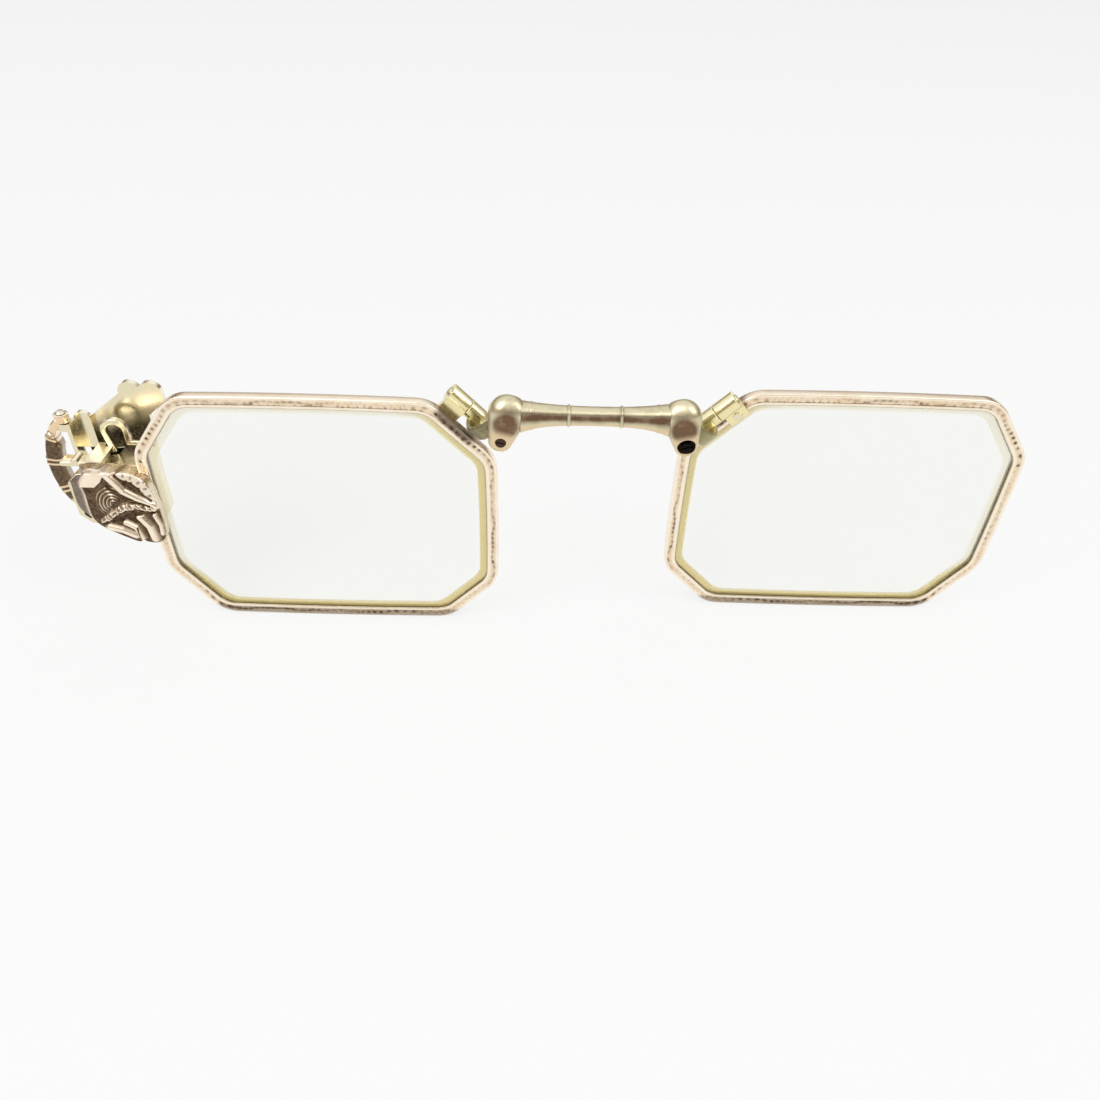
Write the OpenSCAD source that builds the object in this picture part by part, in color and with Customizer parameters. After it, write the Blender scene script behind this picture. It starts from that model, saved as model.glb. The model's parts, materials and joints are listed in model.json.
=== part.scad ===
// Folding spring pince nez with a small ornamental handle, standing on its lower rims
// X runs to the right, Y runs from the front to the back, Z runs up, in millimetres
// The right lens sits one hinge barrel behind the left, and folds flat behind it

/* [Lenses] */
// Width of each rim opening
lens_w = 37; // [33:0.5:42]
// Height of each rim opening
lens_h = 27.9; // [25:0.1:31]
// Thickness of the glass at its middle
lens_t = 1.1; // [0.8:0.05:1.4]
// Clearance between the glass and the rim
lens_fit = 0.04; // [0.02:0.01:0.08]

/* [Rims] */
// Width of the rim seen from the front
rim_face = 1.35; // [1.2:0.05:1.6]
// Thickness of the rim from front to back
rim_t = 1.2; // [1.05:0.05:1.5]
// Depth of the lens groove
groove_d = 0.45; // [0.35:0.05:0.6]
// Width of the lens groove
groove_w = 0.6; // [0.5:0.05:0.7]
// Distance between the two rims at the nose
nose_gap = 20.3; // [19:0.1:22]
// Run of the lower chamfer at the nose
nose_chamfer = 5.0; // [4.8:0.1:5.6]
// Run of the outer chamfers along the top and bottom
outer_chamfer_x = 4.3; // [3:0.1:5.5]
// Run of the outer chamfers down the side
outer_chamfer_z = 6.0; // [4.5:0.1:7]
// Radius that softens each rim corner
corner_r = 2.6; // [1.5:0.1:3]
// How far the long edges of the rim are bowed outwards
bow = 0.35; // [0:0.05:0.5]

/* [Hinges] */
// Radius of the hinge barrels
barrel_r = 1.05; // [0.9:0.05:1.2]
// Length of each hinge barrel, both knuckles together
barrel_l = 5.0; // [4.6:0.1:5.6]
// Gap between a rim's chamfer and the hinge axis
hinge_seat = 1.6; // [1.5:0.01:1.8]
// Sideways distance of each hinge from the middle of the bridge
hinge_x = 13.5; // [13:0.1:14]
// Radius of the hinge pins
pin_r = 0.35; // [0.3:0.01:0.4]
// Radial running clearance of pins and pivots
run_fit = 0.03; // [0.02:0.01:0.05]
// Clearance left between parts that fold past each other
fold_clear = 0.2; // [0.15:0.01:0.3]
// Thickness of the hinge leaf on the rim
leaf_t = 0.8; // [0.6:0.05:1]
// How far the hinge leaf reaches over the rim
leaf_reach = 1.1; // [0.8:0.05:1.2]
// Gap between the end faces of two knuckles
knuckle_gap = 0.06; // [0.04:0.01:0.1]

/* [Springs] */
// Wire diameter of the hinge springs
spring_wire = 0.2; // [0.16:0.01:0.22]
// Mean radius of the hinge spring coil
spring_r = 0.58; // [0.54:0.01:0.6]
// Curls in each hinge spring
spring_turns = 3; // [2:1:3]
// Wire diameter of the latch spring
latch_wire = 0.22; // [0.18:0.01:0.24]

/* [Bridge] */
// Radius of the bridge bar at its middle
bar_r = 0.95; // [0.8:0.05:1.1]
// Radius of the bridge bar where it meets the bulbs
bar_end_r = 1.4; // [1.2:0.05:1.5]
// Height of the bar above the hinge centres
bar_up = 1.7; // [1:0.1:2]
// Height of each bulb's middle above the hinge centres
bulb_up = 0.5; // [0:0.1:0.8]
// Half width of each bulb
bulb_w = 2.05; // [1.8:0.05:2.2]
// Half depth of each bulb
bulb_d = 1.5; // [1.3:0.05:1.6]
// Distance of each bulb from the middle of the bridge
bulb_x = 9.25; // [9:0.05:9.4]
// Length of each bulb from its crown to its foot
bulb_l = 6.6; // [6:0.1:7]
// Lean of each bulb towards its rim
bulb_lean = 14; // [8:1:18]
// Width of the arms between knuckle and bulb
arm_w = 1.3; // [1.1:0.05:1.35]

/* [Handle] */
// Length of the handle from the rim to its end wall
handle_l = 9.0; // [8.6:0.1:10]
// Height of the handle's middle above the middle of the lens
handle_up = 0.8; // [0:0.1:1.5]
// Half height of the handle at the rim
handle_h = 4.7; // [4.4:0.1:5.2]
// Half height of the handle at its outer end
handle_end_h = 3.4; // [3:0.1:3.8]
// Depth of the handle between its front and back plates
handle_d = 6.2; // [6:0.1:7]
// Wall thickness of the handle box
wall = 0.7; // [0.5:0.05:0.9]
// Thickness of the front plate in front of the rim
plate_t = 0.8; // [0.6:0.05:1]
// Thickness of the back plate
back_t = 0.7; // [0.5:0.05:0.9]
// Height of the back plate's two lobes above the handle's middle
lobe_h = 11.8; // [10:0.1:12.5]
// Radius of the shell on the front plate
shell_r = 2.3; // [1.8:0.1:2.6]

/* [Latch] */
// Radius of the latch pin
latch_pin_r = 0.45; // [0.35:0.01:0.5]
// Thickness of the latch hook
hook_t = 0.8; // [0.6:0.05:0.9]
// How far the claw reaches over the folded rim
claw_over = 0.6; // [0.45:0.05:0.75]
// Outer radius of the hook's arch
arch_r = 1.6; // [1.4:0.05:1.8]
// Width of the hook's strip
strip_w = 0.65; // [0.5:0.05:0.75]
// Length of the thumb plate
thumb_l = 3.6; // [3:0.1:4.2]
// Width of the thumb plate from front to back
thumb_w = 1.7; // [1.4:0.1:2.2]

/* [Bail] */
// Half height of the bail between its pivots
bail_h = 6.6; // [6.2:0.05:7]
// Height of the bail's middle above the handle's middle
bail_up = 1.2; // [0.8:0.1:1.5]
// How far the bail stands out from its pivots
bail_out = 2.5; // [2.3:0.1:3]
// Width of the bail's band
bail_w = 2.0; // [1.6:0.1:2]
// Thickness of the bail's band
bail_t = 1.5; // [1:0.05:1.6]
// Radius of the bail's pivot pins
bail_pin_r = 0.35; // [0.3:0.01:0.4]

/* [Hidden] */
$fn = 48;

e = 0.01;
rivet_head = 0.2;
rib_up = 0.15;
// The opening before its edges are bowed
half_w = lens_w / 2 - bow;
half_h = lens_h / 2 - bow;
open_x = nose_gap / 2 + rim_face + bow;
lens_x = open_x + half_w;
rim_edge_x = lens_x + lens_w / 2 + rim_face;
rim_edge_z = lens_h / 2 + rim_face;
// The upper chamfer at the nose leaves room for the hinge barrel
hinge_chamfer = half_h - open_x + (rim_face + hinge_seat) * sqrt(2);
// Depth of the hinge axes, and of the right lens, behind the left lens
axis_y = rim_t / 2 + fold_clear + barrel_r;
back_y = 2 * axis_y;
bulb_y = -rim_t / 2 - fold_clear - 0.1 - bulb_d;
bulb_z = hinge_x + bulb_up;
bar_z = hinge_x + bar_up;
handle_x = rim_edge_x;
handle_end_x = handle_x + handle_l;
box_y0 = rim_t / 2;
box_y1 = box_y0 + handle_d;
bail_x = handle_end_x + 1.0;
bail_y = box_y1 - bail_w / 2 - 0.2;
bail_edge_x = bail_x + bail_out + bail_t / 2 + rib_up;
// The origin is under the middle of the whole object
shift = [(bail_edge_x - rim_edge_x) / 2, -(bulb_y - bulb_d + box_y1 + back_t + rivet_head) / 2, rim_edge_z];

silver = [0.78, 0.74, 0.70];
gilt = [0.85, 0.80, 0.58];
glass = [0.85, 0.92, 0.90, 0.35];
steel = [0.6, 0.6, 0.62];

// Distance of a chamfer line from the middle of the opening, for its two runs
function chamfer_d(run_x, run_z) =
    (run_z * half_w + run_x * half_h - run_x * run_z) / sqrt(run_x ^ 2 + run_z ^ 2);
function chamfer_a(run_x, run_z) = atan2(run_x, run_z);
// Each edge of the opening as the angle of its normal and its distance
edges = [
    [0, half_w],
    [chamfer_a(outer_chamfer_x, outer_chamfer_z), chamfer_d(outer_chamfer_x, outer_chamfer_z)],
    [90, half_h],
    [180 - chamfer_a(hinge_chamfer, hinge_chamfer), chamfer_d(hinge_chamfer, hinge_chamfer)],
    [180, half_w],
    [180 + chamfer_a(nose_chamfer, nose_chamfer), chamfer_d(nose_chamfer, nose_chamfer)],
    [270, half_h],
    [360 - chamfer_a(outer_chamfer_x, outer_chamfer_z), chamfer_d(outer_chamfer_x, outer_chamfer_z)],
];
// Where two edges cross, moved outwards by grow
function corner(a, b, grow) =
    let (s = sin(b[0] - a[0]), p = a[1] + grow, q = b[1] + grow)
    [(p * sin(b[0]) - q * sin(a[0])) / s, (q * cos(a[0]) - p * cos(b[0])) / s];
// A corner softened by an arc of the given radius
function soft(a, b, grow, r) =
    let (turn = b[0] - a[0], c = corner([a[0], a[1] - r], [b[0], b[1] - r], grow))
    [for (i = [0:6]) c + r * [cos(a[0] + turn * i / 6), sin(a[0] + turn * i / 6)]];
// The long edges are bowed outwards a little
function bowed(p, grow) = [
    p[0] * (1 + bow * (1 - (p[1] / (half_h + rim_face)) ^ 2) / (half_w + grow)),
    p[1] * (1 + bow * (1 - (p[0] / (half_w + rim_face)) ^ 2) / (half_h + grow)),
];
// Extra points along an edge, so that the bow shows
function along(p, q, n) = [for (i = [1:n - 1]) p + (q - p) * i / n];
function edge_end(i, grow) = soft(edges[i], edges[(i + 1) % 8] + [i == 7 ? 360 : 0, 0], grow, corner_r + grow);
function outline(grow) = [
    for (i = [0:7])
    let (here = edge_end(i, grow), next = edge_end((i + 1) % 8, grow))
    for (p = concat(here, along(here[6], next[0], 8))) bowed(p, grow)
];

// A flat shape drawn in X and Z, standing between two depths
module slab(y0, y1) {
    translate([0, y1, 0]) rotate([90, 0, 0]) linear_extrude(y1 - y0) children();
}
module placed() { translate(shift) children(); }
// The left lens is mirrored, so outwards is to the left there
module at_lens(side) {
    placed() translate([side * lens_x, side > 0 ? back_y : 0, 0]) mirror([side > 0 ? 0 : 1, 0, 0]) children();
}
// Hinge frame: Z along the pin and outwards, X towards the middle of the bridge and up
module at_hinge(side) {
    placed() mirror([side > 0 ? 1 : 0, 0, 0])
        translate([-hinge_x, axis_y, hinge_x]) rotate([0, -45, 0]) children();
}
module tube(r_out, r_in, h) {
    difference() {
        cylinder(r = r_out, h = h);
        translate([0, 0, -e]) cylinder(r = r_in, h = h + 2 * e);
    }
}

module rim() {
    difference() {
        slab(-rim_t / 2, rim_t / 2) polygon(outline(rim_face));
        slab(-rim_t, rim_t) polygon(outline(0));
        slab(-groove_w / 2, groove_w / 2) polygon(outline(groove_d));
    }
}
module lens() {
    slab(-lens_t / 2, lens_t / 2) polygon(outline(-lens_fit));
    slab(-groove_w / 2 + lens_fit, groove_w / 2 - lens_fit) polygon(outline(groove_d - lens_fit));
}
module left_rim() { color(silver) at_lens(-1) rim(); }
module right_rim() { color(silver) at_lens(1) rim(); }
module left_lens() { color(glass) at_lens(-1) lens(); }
module right_lens() { color(glass) at_lens(1) lens(); }

// Leaf soldered to the rim, with the outer knuckle; rim_side is 1 where the rim is behind the axis
module hinge_leaf(rim_side) {
    knuckle = barrel_l / 2 - knuckle_gap / 2;
    leaf_y = axis_y - rim_t / 2;
    difference() {
        union() {
            translate([0, 0, knuckle_gap / 2]) cylinder(r = barrel_r, h = knuckle);
            translate([-hinge_seat - leaf_reach, rim_side > 0 ? leaf_y - leaf_t : -leaf_y, knuckle_gap / 2])
                cube([hinge_seat + leaf_reach, leaf_t, knuckle]);
        }
        cylinder(r = pin_r, h = barrel_l / 2 + e);
        leaf_screw_at(rim_side) cylinder(r = leaf_screw_r, h = 4 * leaf_t, center = true);
    }
}
leaf_screw_r = 0.35;
module leaf_screw_at(rim_side) {
    translate([-hinge_seat - leaf_reach / 2, rim_side * (axis_y - rim_t / 2 - leaf_t / 2), barrel_l / 4])
        rotate([-90 * rim_side, 0, 0]) children();
}
module leaf_screw(rim_side) {
    leaf_screw_at(rim_side) translate([0, 0, -leaf_t / 2]) cylinder(r = leaf_screw_r, h = leaf_t);
    leaf_screw_at(rim_side) translate([0, 0, -leaf_t / 2 - 0.15]) cylinder(r = leaf_screw_r * 1.5, h = 0.15);
}
module left_hinge_leaf() { color(gilt) at_hinge(-1) hinge_leaf(-1); }
module right_hinge_leaf() { color(gilt) at_hinge(1) hinge_leaf(1); }
module left_leaf_screw() { color(silver) at_hinge(-1) leaf_screw(-1); }
module right_leaf_screw() { color(silver) at_hinge(1) leaf_screw(1); }

// The pin is held in the leaf's knuckle and turns in the bridge's knuckle
module hinge_pin() {
    translate([0, 0, -barrel_l / 2]) cylinder(r = pin_r, h = barrel_l);
    translate([0, 0, barrel_l / 2]) cylinder(r1 = pin_r * 1.7, r2 = pin_r, h = 0.2);
}
module left_hinge_pin() { color(steel) at_hinge(-1) hinge_pin(); }
module right_hinge_pin() { color(steel) at_hinge(1) hinge_pin(); }

// Bridge knuckle: a cup for the spring, and the arm that carries the bulb in front
cup_r = barrel_r - 0.22;
spring_pitch = spring_wire + 0.42;
cup_l = spring_turns * spring_pitch + spring_wire + 0.06;
arm_x = 0.6 - hinge_seat;
arm_gap = 0.2;
foot_h = 2.0;
arm_y = bulb_y - axis_y;
bulb_at = [(bulb_z - bulb_x) / sqrt(2), arm_y, -((hinge_x - bulb_x) + (hinge_x - bulb_z)) / sqrt(2)];
module bridge_knuckle() {
    knuckle = barrel_l / 2 - knuckle_gap / 2;
    difference() {
        union() {
            translate([0, 0, -knuckle - knuckle_gap / 2]) cylinder(r = barrel_r, h = knuckle);
            translate([arm_x, arm_y, -barrel_l / 2]) cube([arm_w, -arm_y, barrel_l / 2 - arm_gap]);
            // Foot of the arm, let into the back of the bulb
            translate([arm_x, arm_y, bulb_at[2] - foot_h / 2]) cube([bulb_at[0] - arm_x, bulb_d, foot_h]);
        }
        translate([0, 0, -barrel_l / 2 - e]) cylinder(r = pin_r + run_fit, h = barrel_l);
        translate([0, 0, -0.25 - cup_l]) cylinder(r = cup_r, h = cup_l);
        translate(bulb_at) bulb_solid();
    }
}
module left_bridge_knuckle() { color(gilt) at_hinge(-1) bridge_knuckle(); }
module right_bridge_knuckle() { color(gilt) at_hinge(1) bridge_knuckle(); }

// One unbroken tube along a helix, with closed ends
function helix(r, pitch, turns, t) = [r * cos(360 * turns * t), r * sin(360 * turns * t), pitch * turns * t];
module coil(r, pitch, turns, wire) {
    rings = 8 * turns;
    sides = 6;
    lean = atan2(pitch, 2 * PI * r);
    pts = [for (i = [0:rings], j = [0:sides - 1])
        let (t = i / rings, a = 360 * turns * t, b = 360 * j / sides,
             out = wire / 2 * cos(b), up = wire / 2 * sin(b))
        helix(r, pitch, turns, t)
            + out * [cos(a), sin(a), 0]
            + up * [sin(a) * sin(lean), -cos(a) * sin(lean), cos(lean)]];
    skin = [for (i = [0:rings - 1], j = [0:sides - 1])
        let (k = (j + 1) % sides, p = i * sides, q = p + sides)
        each [[p + j, p + k, q + k], [p + j, q + k, q + j]]];
    first = [for (j = [1:sides - 2]) [0, j + 1, j]];
    last = [for (j = [1:sides - 2]) [rings * sides, rings * sides + j, rings * sides + j + 1]];
    polyhedron(pts, concat(skin, first, last));
}
echo(least_gap_hinge_spring = spring_pitch * cos(atan2(spring_pitch, 2 * PI * spring_r)) - spring_wire);
module hinge_spring() {
    translate([0, 0, -0.25 - cup_l + spring_wire / 2 + 0.03]) coil(spring_r, spring_pitch, spring_turns, spring_wire);
}
module left_hinge_spring() { color(steel) at_hinge(-1) hinge_spring(); }
module right_hinge_spring() { color(steel) at_hinge(1) hinge_spring(); }

// Teardrop bulb in the hinge frame, leaning towards the rim, with a socket for the bar
module bulb_solid() {
    rotate([0, 45, 0]) rotate([0, bulb_lean, 0]) scale([1, bulb_d / bulb_w, 1])
        rotate_extrude() bulb_profile();
}
// Round crown and round foot, with the straight line that touches both
module bulb_profile() {
    foot_r = bulb_w * 0.62;
    top = bulb_l / 2 - bulb_w;
    low = -bulb_l / 2 + foot_r;
    turn = asin((bulb_w - foot_r) / (top - low));
    crown = [for (i = [1:9]) let (a = 90 - (90 + turn) * i / 9) [bulb_w * cos(a), top + bulb_w * sin(a)]];
    foot = [for (i = [0:5]) let (a = -turn - (90 - turn) * i / 6) [foot_r * cos(a), low + foot_r * sin(a)]];
    polygon(concat([[0, top + bulb_w]], crown, foot, [[0, low - foot_r]]));
}
bar_len = 2 * (bulb_x - bulb_w * 0.8);
module bulb(side) {
    difference() {
        at_hinge(side) translate(bulb_at) bulb_solid();
        bar_at() translate([0, 0, -bar_len / 2]) cylinder(r = bar_end_r, h = bar_len);
        bulb_screw_at(side) cylinder(r = bulb_screw_r, h = 1.2);
    }
}
bulb_screw_r = 0.55;
module bulb_screw_at(side) {
    at_hinge(side) translate(bulb_at) rotate([0, 45 + bulb_lean, 0])
        translate([0, -bulb_d + 0.35, -bulb_l / 2 + bulb_w * 0.75]) rotate([90, 0, 0]) translate([0, 0, -1.2]) children();
}
module bulb_screw(side) {
    bulb_screw_at(side) difference() {
        cylinder(r = bulb_screw_r, h = 1.1);
        translate([-bulb_screw_r, -0.08, 0.9]) cube([2 * bulb_screw_r, 0.16, 0.3]);
    }
}
module left_bulb() { color(silver) bulb(-1); }
module right_bulb() { color(silver) bulb(1); }
module left_bulb_screw() { color(silver) bulb_screw(-1); }
module right_bulb_screw() { color(silver) bulb_screw(1); }

// Turned bar with a waist and two raised collars
module bar_at() { placed() translate([0, bulb_y, bar_z]) rotate([0, 90, 0]) children(); }
collar_x = 2.7;
collar_w = 0.5;
collar_up = 0.16;
module bridge_bar() {
    steps = 10;
    half = bar_len / 2;
    side = [for (i = [0:steps]) let (t = i / steps) [bar_r + (bar_end_r - bar_r) * t ^ 2.5, half * t]];
    color(silver) bar_at() {
        rotate_extrude() polygon(concat([[0, -half]], [for (i = [steps:-1:1]) [side[i][0], -side[i][1]]],
                                        side, [[0, half]]));
        for (x = [-collar_x, collar_x])
            translate([0, 0, x - collar_w / 2]) cylinder(r = bar_r + collar_up, h = collar_w);
    }
}

// Handle frame: X outwards from the left rim's edge, Z up from the handle's middle
module at_handle() { placed() translate([-handle_x, 0, handle_up]) mirror([1, 0, 0]) children(); }
end_slope = 1.2;
rim_gap = 0.3;
// Half height of the box at a distance from the rim
function box_h(x) = handle_h - (handle_h - handle_end_h) * x / (handle_l - end_slope);
function box_shape(inset, start) = [
    [start, box_h(start) - inset], [handle_l - end_slope, handle_end_h - inset],
    [handle_l - inset, handle_end_h - end_slope], [handle_l - inset, end_slope - handle_end_h],
    [handle_l - end_slope, inset - handle_end_h], [start, inset - box_h(start)],
];
hook_y = back_y + rim_t / 2 + 0.12;
pivot_x = 3.3;
pivot_z = -2.2;
arm_run = 1.6;
arm_rise = 6.8;
pivot = [pivot_x, pivot_z];
arm_top = pivot + [arm_run, arm_rise];
slot_x0 = 4.0;
slot_x1 = 6.5;
module handle_box() {
    color(silver) at_handle() difference() {
        slab(box_y0, box_y1) polygon(box_shape(0, rim_gap));
        slab(box_y0 - e, box_y1 + e) polygon(box_shape(wall, rim_gap + wall));
        translate([slot_x0, hook_y - 0.3, 0]) cube([slot_x1 - slot_x0, hook_t + 0.6, 2 * handle_h]);
    }
}

// Half of the leaf scroll on the front plate, as its outline
plate_end = handle_l - 1.4;
plate_shape = [
    [plate_end, 2.8], [plate_end - 0.5, -2.0], [5.3, -3.3], [3.6, -3.9], [2.4, -4.6], [1.2, -4.9],
    [-0.3, -4.7], [-1.5, -4.3], [-1.6, 0], [-1.2, 3.2], [0.2, 4.2], [3.0, 4.5], [5.3, 4.9], [plate_end, 4.9],
];
shell_at = [plate_end - 3.3, 1.5];
upper_leaf = [[1.9, 4.9], [0.2, 4.5], [-0.8, 3.6], [-1.4, 2.2], [-1.1, 1.8], [0.6, 3.2]];
rib_leaf = [[3.6, 4.7], [2.6, 4.7], [1.4, 3.4], [-1.0, 1.7], [-1.4, 0.9], [0.4, 1.5], [2.2, 2.4], [3.4, 3.9]];
lower_leaf = [[5.4, -0.7], [3.4, 0.4], [0.9, 1.2], [-1.2, 0.9], [-1.2, 0.2], [1.0, 0.1], [3.2, -0.8], [5.0, -1.7]];
foot_leaf = [[4.6, -2.2], [2.4, -1.3], [0.4, -0.8], [-1.3, -0.6], [-1.3, -3.6], [0.4, -4.4], [2.4, -4.2], [4.4, -3.1]];
plate_y = -rim_t / 2 - plate_t;
leaf_up = 0.35;
module front_plate() {
    color(silver) at_handle() difference() {
        union() {
            slab(plate_y, box_y0) polygon(plate_shape);
            slab(plate_y - leaf_up, plate_y + e) polygon(upper_leaf);
            slab(plate_y - 1.6 * leaf_up, plate_y + e) polygon(rib_leaf);
            slab(plate_y - leaf_up, plate_y + e) polygon(lower_leaf);
            slab(plate_y - leaf_up, plate_y + e) polygon(foot_leaf);
            // Faceted block over the latch
            slab(plate_y - 2 * leaf_up, plate_y + e) polygon([
                [plate_end, 3.1], [plate_end, 4.9], [plate_end - 2.4, 4.9], [plate_end - 3.9, 4.3], [plate_end - 2.5, 2.9],
            ]);
            // Shell of raised arcs
            for (r = [0.5:0.55:shell_r])
                translate([shell_at[0], plate_y, shell_at[1]]) rotate([90, 0, 0])
                    rotate_extrude() translate([r, 0]) circle(r = 0.2, $fn = 16);
        }
        // Seat for the rim, with the plate lapped over its front face
        mirror([1, 0, 0]) translate([handle_x - lens_x, 0, -handle_up]) mirror([1, 0, 0])
            slab(-rim_t / 2, rim_t) polygon(outline(rim_face + 0.02));
        // Pits in the upper leaf
        for (i = [0:3]) translate([1.1 - 0.7 * i, plate_y - leaf_up - e, 4.55 - 0.6 * i])
            rotate([-90, 0, 0]) cylinder(r = 0.16, h = 0.2, $fn = 16);
        translate([pivot[0], box_y0 - 0.3, pivot[1]]) rotate([-90, 0, 0]) cylinder(r = latch_pin_r, h = 1);
        for (p = rivet_spots) translate([p[0], box_y0 - 0.3, p[1]]) rotate([-90, 0, 0]) cylinder(r = rivet_r, h = 1);
    }
}

// Back plate with its two lobes, clear of the path of the folding rim
lobe_r = 1.3;
lobe_gap = 2.3;
lobe_x = 0.95;
// Points round one lobe
function lobe(x, angles) = [for (a = angles) [lobe_x + x + lobe_r * cos(a), lobe_h - lobe_r + lobe_r * sin(a)]];
back_l = handle_l - 0.4;
module back_plate() {
    color(silver) at_handle() difference() {
        slab(box_y1, box_y1 + back_t) polygon(concat(
            [[0.6, -handle_h - 0.3], [0.6, 7.6], [-1.5, lobe_h - 2.4]],
            lobe(-lobe_gap / 2, [190:-18:28]), lobe(lobe_gap / 2, [152:-18:-10]),
            [[back_l, 6.4], [back_l, -handle_end_h], [back_l - 1.2, -handle_end_h - 0.4]]));
        translate([pivot[0], box_y1 - e, pivot[1]]) rotate([-90, 0, 0]) cylinder(r = latch_pin_r, h = back_t + 2 * e);
        for (p = rivet_spots)
            translate([p[0], box_y1 - e, p[1]]) rotate([-90, 0, 0]) cylinder(r = rivet_r, h = back_t + 2 * e);
    }
}
rivet_r = 0.4;
rivet_spots = [[handle_l - 2.3, 1.7], [handle_l - 2.3, -1.3], [1.4, -2.9]];
module along_y(p, y0, y1, r) {
    translate([p[0], y0, p[1]]) rotate([-90, 0, 0]) cylinder(r = r, h = y1 - y0);
}
module plate_rivets() {
    color(silver) at_handle() for (p = rivet_spots) {
        along_y(p, box_y0 - 0.3, box_y1 + back_t, rivet_r);
        translate([p[0], box_y1 + back_t, p[1]]) rotate([-90, 0, 0]) cylinder(r1 = rivet_r * 1.5, r2 = rivet_r, h = rivet_head);
    }
}
module latch_pin() { color(steel) at_handle() along_y(pivot, box_y0 - 0.3, box_y1 + back_t, latch_pin_r); }

// Latch: an arched strip whose claw holds the folded rim, pressed off it by the thumb plate
claw_x = -claw_over;
// The arch rises high enough over the claw to leave a tall opening
arch_up = 2.1;
arch_at = arm_top + [strip_w - arch_r, arch_up];
tip_z = box_h(0) + 0.3;
tip_t = strip_w * 0.8;
// Points round the arch, from its arm to its claw or back
function half_round(r, steps) = [for (i = steps) arch_at + r * [cos(180 * i / 16), sin(180 * i / 16)]];
module latch_hook() {
    color(silver) at_handle() slab(hook_y, hook_y + hook_t) difference() {
        union() {
            translate(pivot) circle(r = 0.95);
            polygon(concat(
                [pivot + [-0.3, 0], pivot + [0.6, 0]], half_round(arch_r, [0:16]),
                [[arch_at[0] - arch_r, tip_z + tip_t], [claw_x, tip_z + tip_t],
                 [claw_x, tip_z], [arch_at[0] - arch_r + strip_w, tip_z]],
                half_round(arch_r - strip_w, [16:-1:0])));
        }
        translate(pivot) circle(r = latch_pin_r + run_fit);
    }
}
thumb_z = 4.35;
// From the hook to the thumb plate's front edge
thumb_reach = 3.6;
thumb_t = 0.5;
thumb_foot = 0.95;
grip_r = 0.42;
thumb_x0 = arm_top[0] + strip_w;
module thumb_plate() {
    color(silver) at_handle() union() {
        translate([thumb_x0 - thumb_foot, hook_y - thumb_reach, thumb_z])
            cube([2 * thumb_foot, thumb_reach, thumb_t]);
        translate([thumb_x0, hook_y - e, thumb_z]) cube([thumb_foot, hook_t + e, thumb_t]);
        translate([thumb_x0, hook_y - thumb_reach, thumb_z]) cube([thumb_l, thumb_w, thumb_t]);
        // Rolled grip on the plate
        translate([thumb_x0 + thumb_l * 0.55, hook_y - thumb_reach, thumb_z + thumb_t]) rotate([-90, 0, 0])
            cylinder(r = grip_r, h = thumb_w);
    }
}
latch_pitch = latch_wire + 0.45;
latch_turns = 4;
module latch_spring() {
    color(steel) at_handle() translate([pivot[0], box_y0 + 0.35, pivot[1]]) rotate([-90, 0, 0])
        coil(latch_pin_r + 0.35, latch_pitch, latch_turns, latch_wire);
}
echo(least_gap_latch_spring = latch_pitch * cos(atan2(latch_pitch, 2 * PI * (latch_pin_r + 0.35))) - latch_wire);

// Bail: an arched band that swings on two upright pins
rib_a = 3.2;
eye_r = 0.8;
eye_h = 1.0;
end_w = 1.5;
lug_h = 0.9;
module both_ends() { for (s = [0, 1]) mirror([0, 0, s]) children(); }
module at_bail() { at_handle() translate([bail_x - handle_x, bail_y, bail_up]) children(); }
bail_r = (bail_h ^ 2 + bail_out ^ 2) / (2 * bail_out);
bail_a = asin(bail_h / bail_r);
module bail() {
    color(silver) at_bail() {
        difference() {
            union() {
                translate([bail_out - bail_r, 0, 0]) rotate([90, 0, 0]) rotate([0, 0, -bail_a])
                    rotate_extrude(angle = 2 * bail_a) translate([bail_r - bail_t / 2, -bail_w / 2]) square([bail_t, bail_w]);
                both_ends() translate([0, 0, bail_h - eye_h / 2]) cylinder(r = eye_r, h = eye_h);
                // Raised ribs round the band
                for (a = [-26, -13, 0, 13, 26])
                    translate([bail_out - bail_r, 0, 0]) rotate([90, 0, 0]) rotate([0, 0, a - rib_a / 2])
                        rotate_extrude(angle = rib_a)
                            translate([bail_r - bail_t / 2 - 0.1, -bail_w / 2 - 0.1]) square([bail_t + 0.1 + rib_up, bail_w + 0.2]);
            }
            both_ends() translate([0, 0, bail_h - eye_h]) cylinder(r = bail_pin_r + run_fit, h = 3 * eye_h);
            // The band narrows at both eyes, and leaves room for the lugs under them
            both_ends() for (s = [0, 1]) mirror([0, s, 0])
                translate([-bail_out, end_w / 2, bail_h - 2 * eye_h]) cube([2 * bail_out, bail_w, 3 * eye_h]);
            translate([0, 0, eye_h / 2 - bail_h]) cylinder(r = eye_r + 0.12, h = 2 * bail_h - eye_h);
        }
    }
}
lug_gap = 0.08;
shield_r = 0.95;
shield_z = 7.2;
shield_x = handle_l + 0.05 - 2 * shield_r;
lug_reach = bail_x - handle_end_x;
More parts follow.
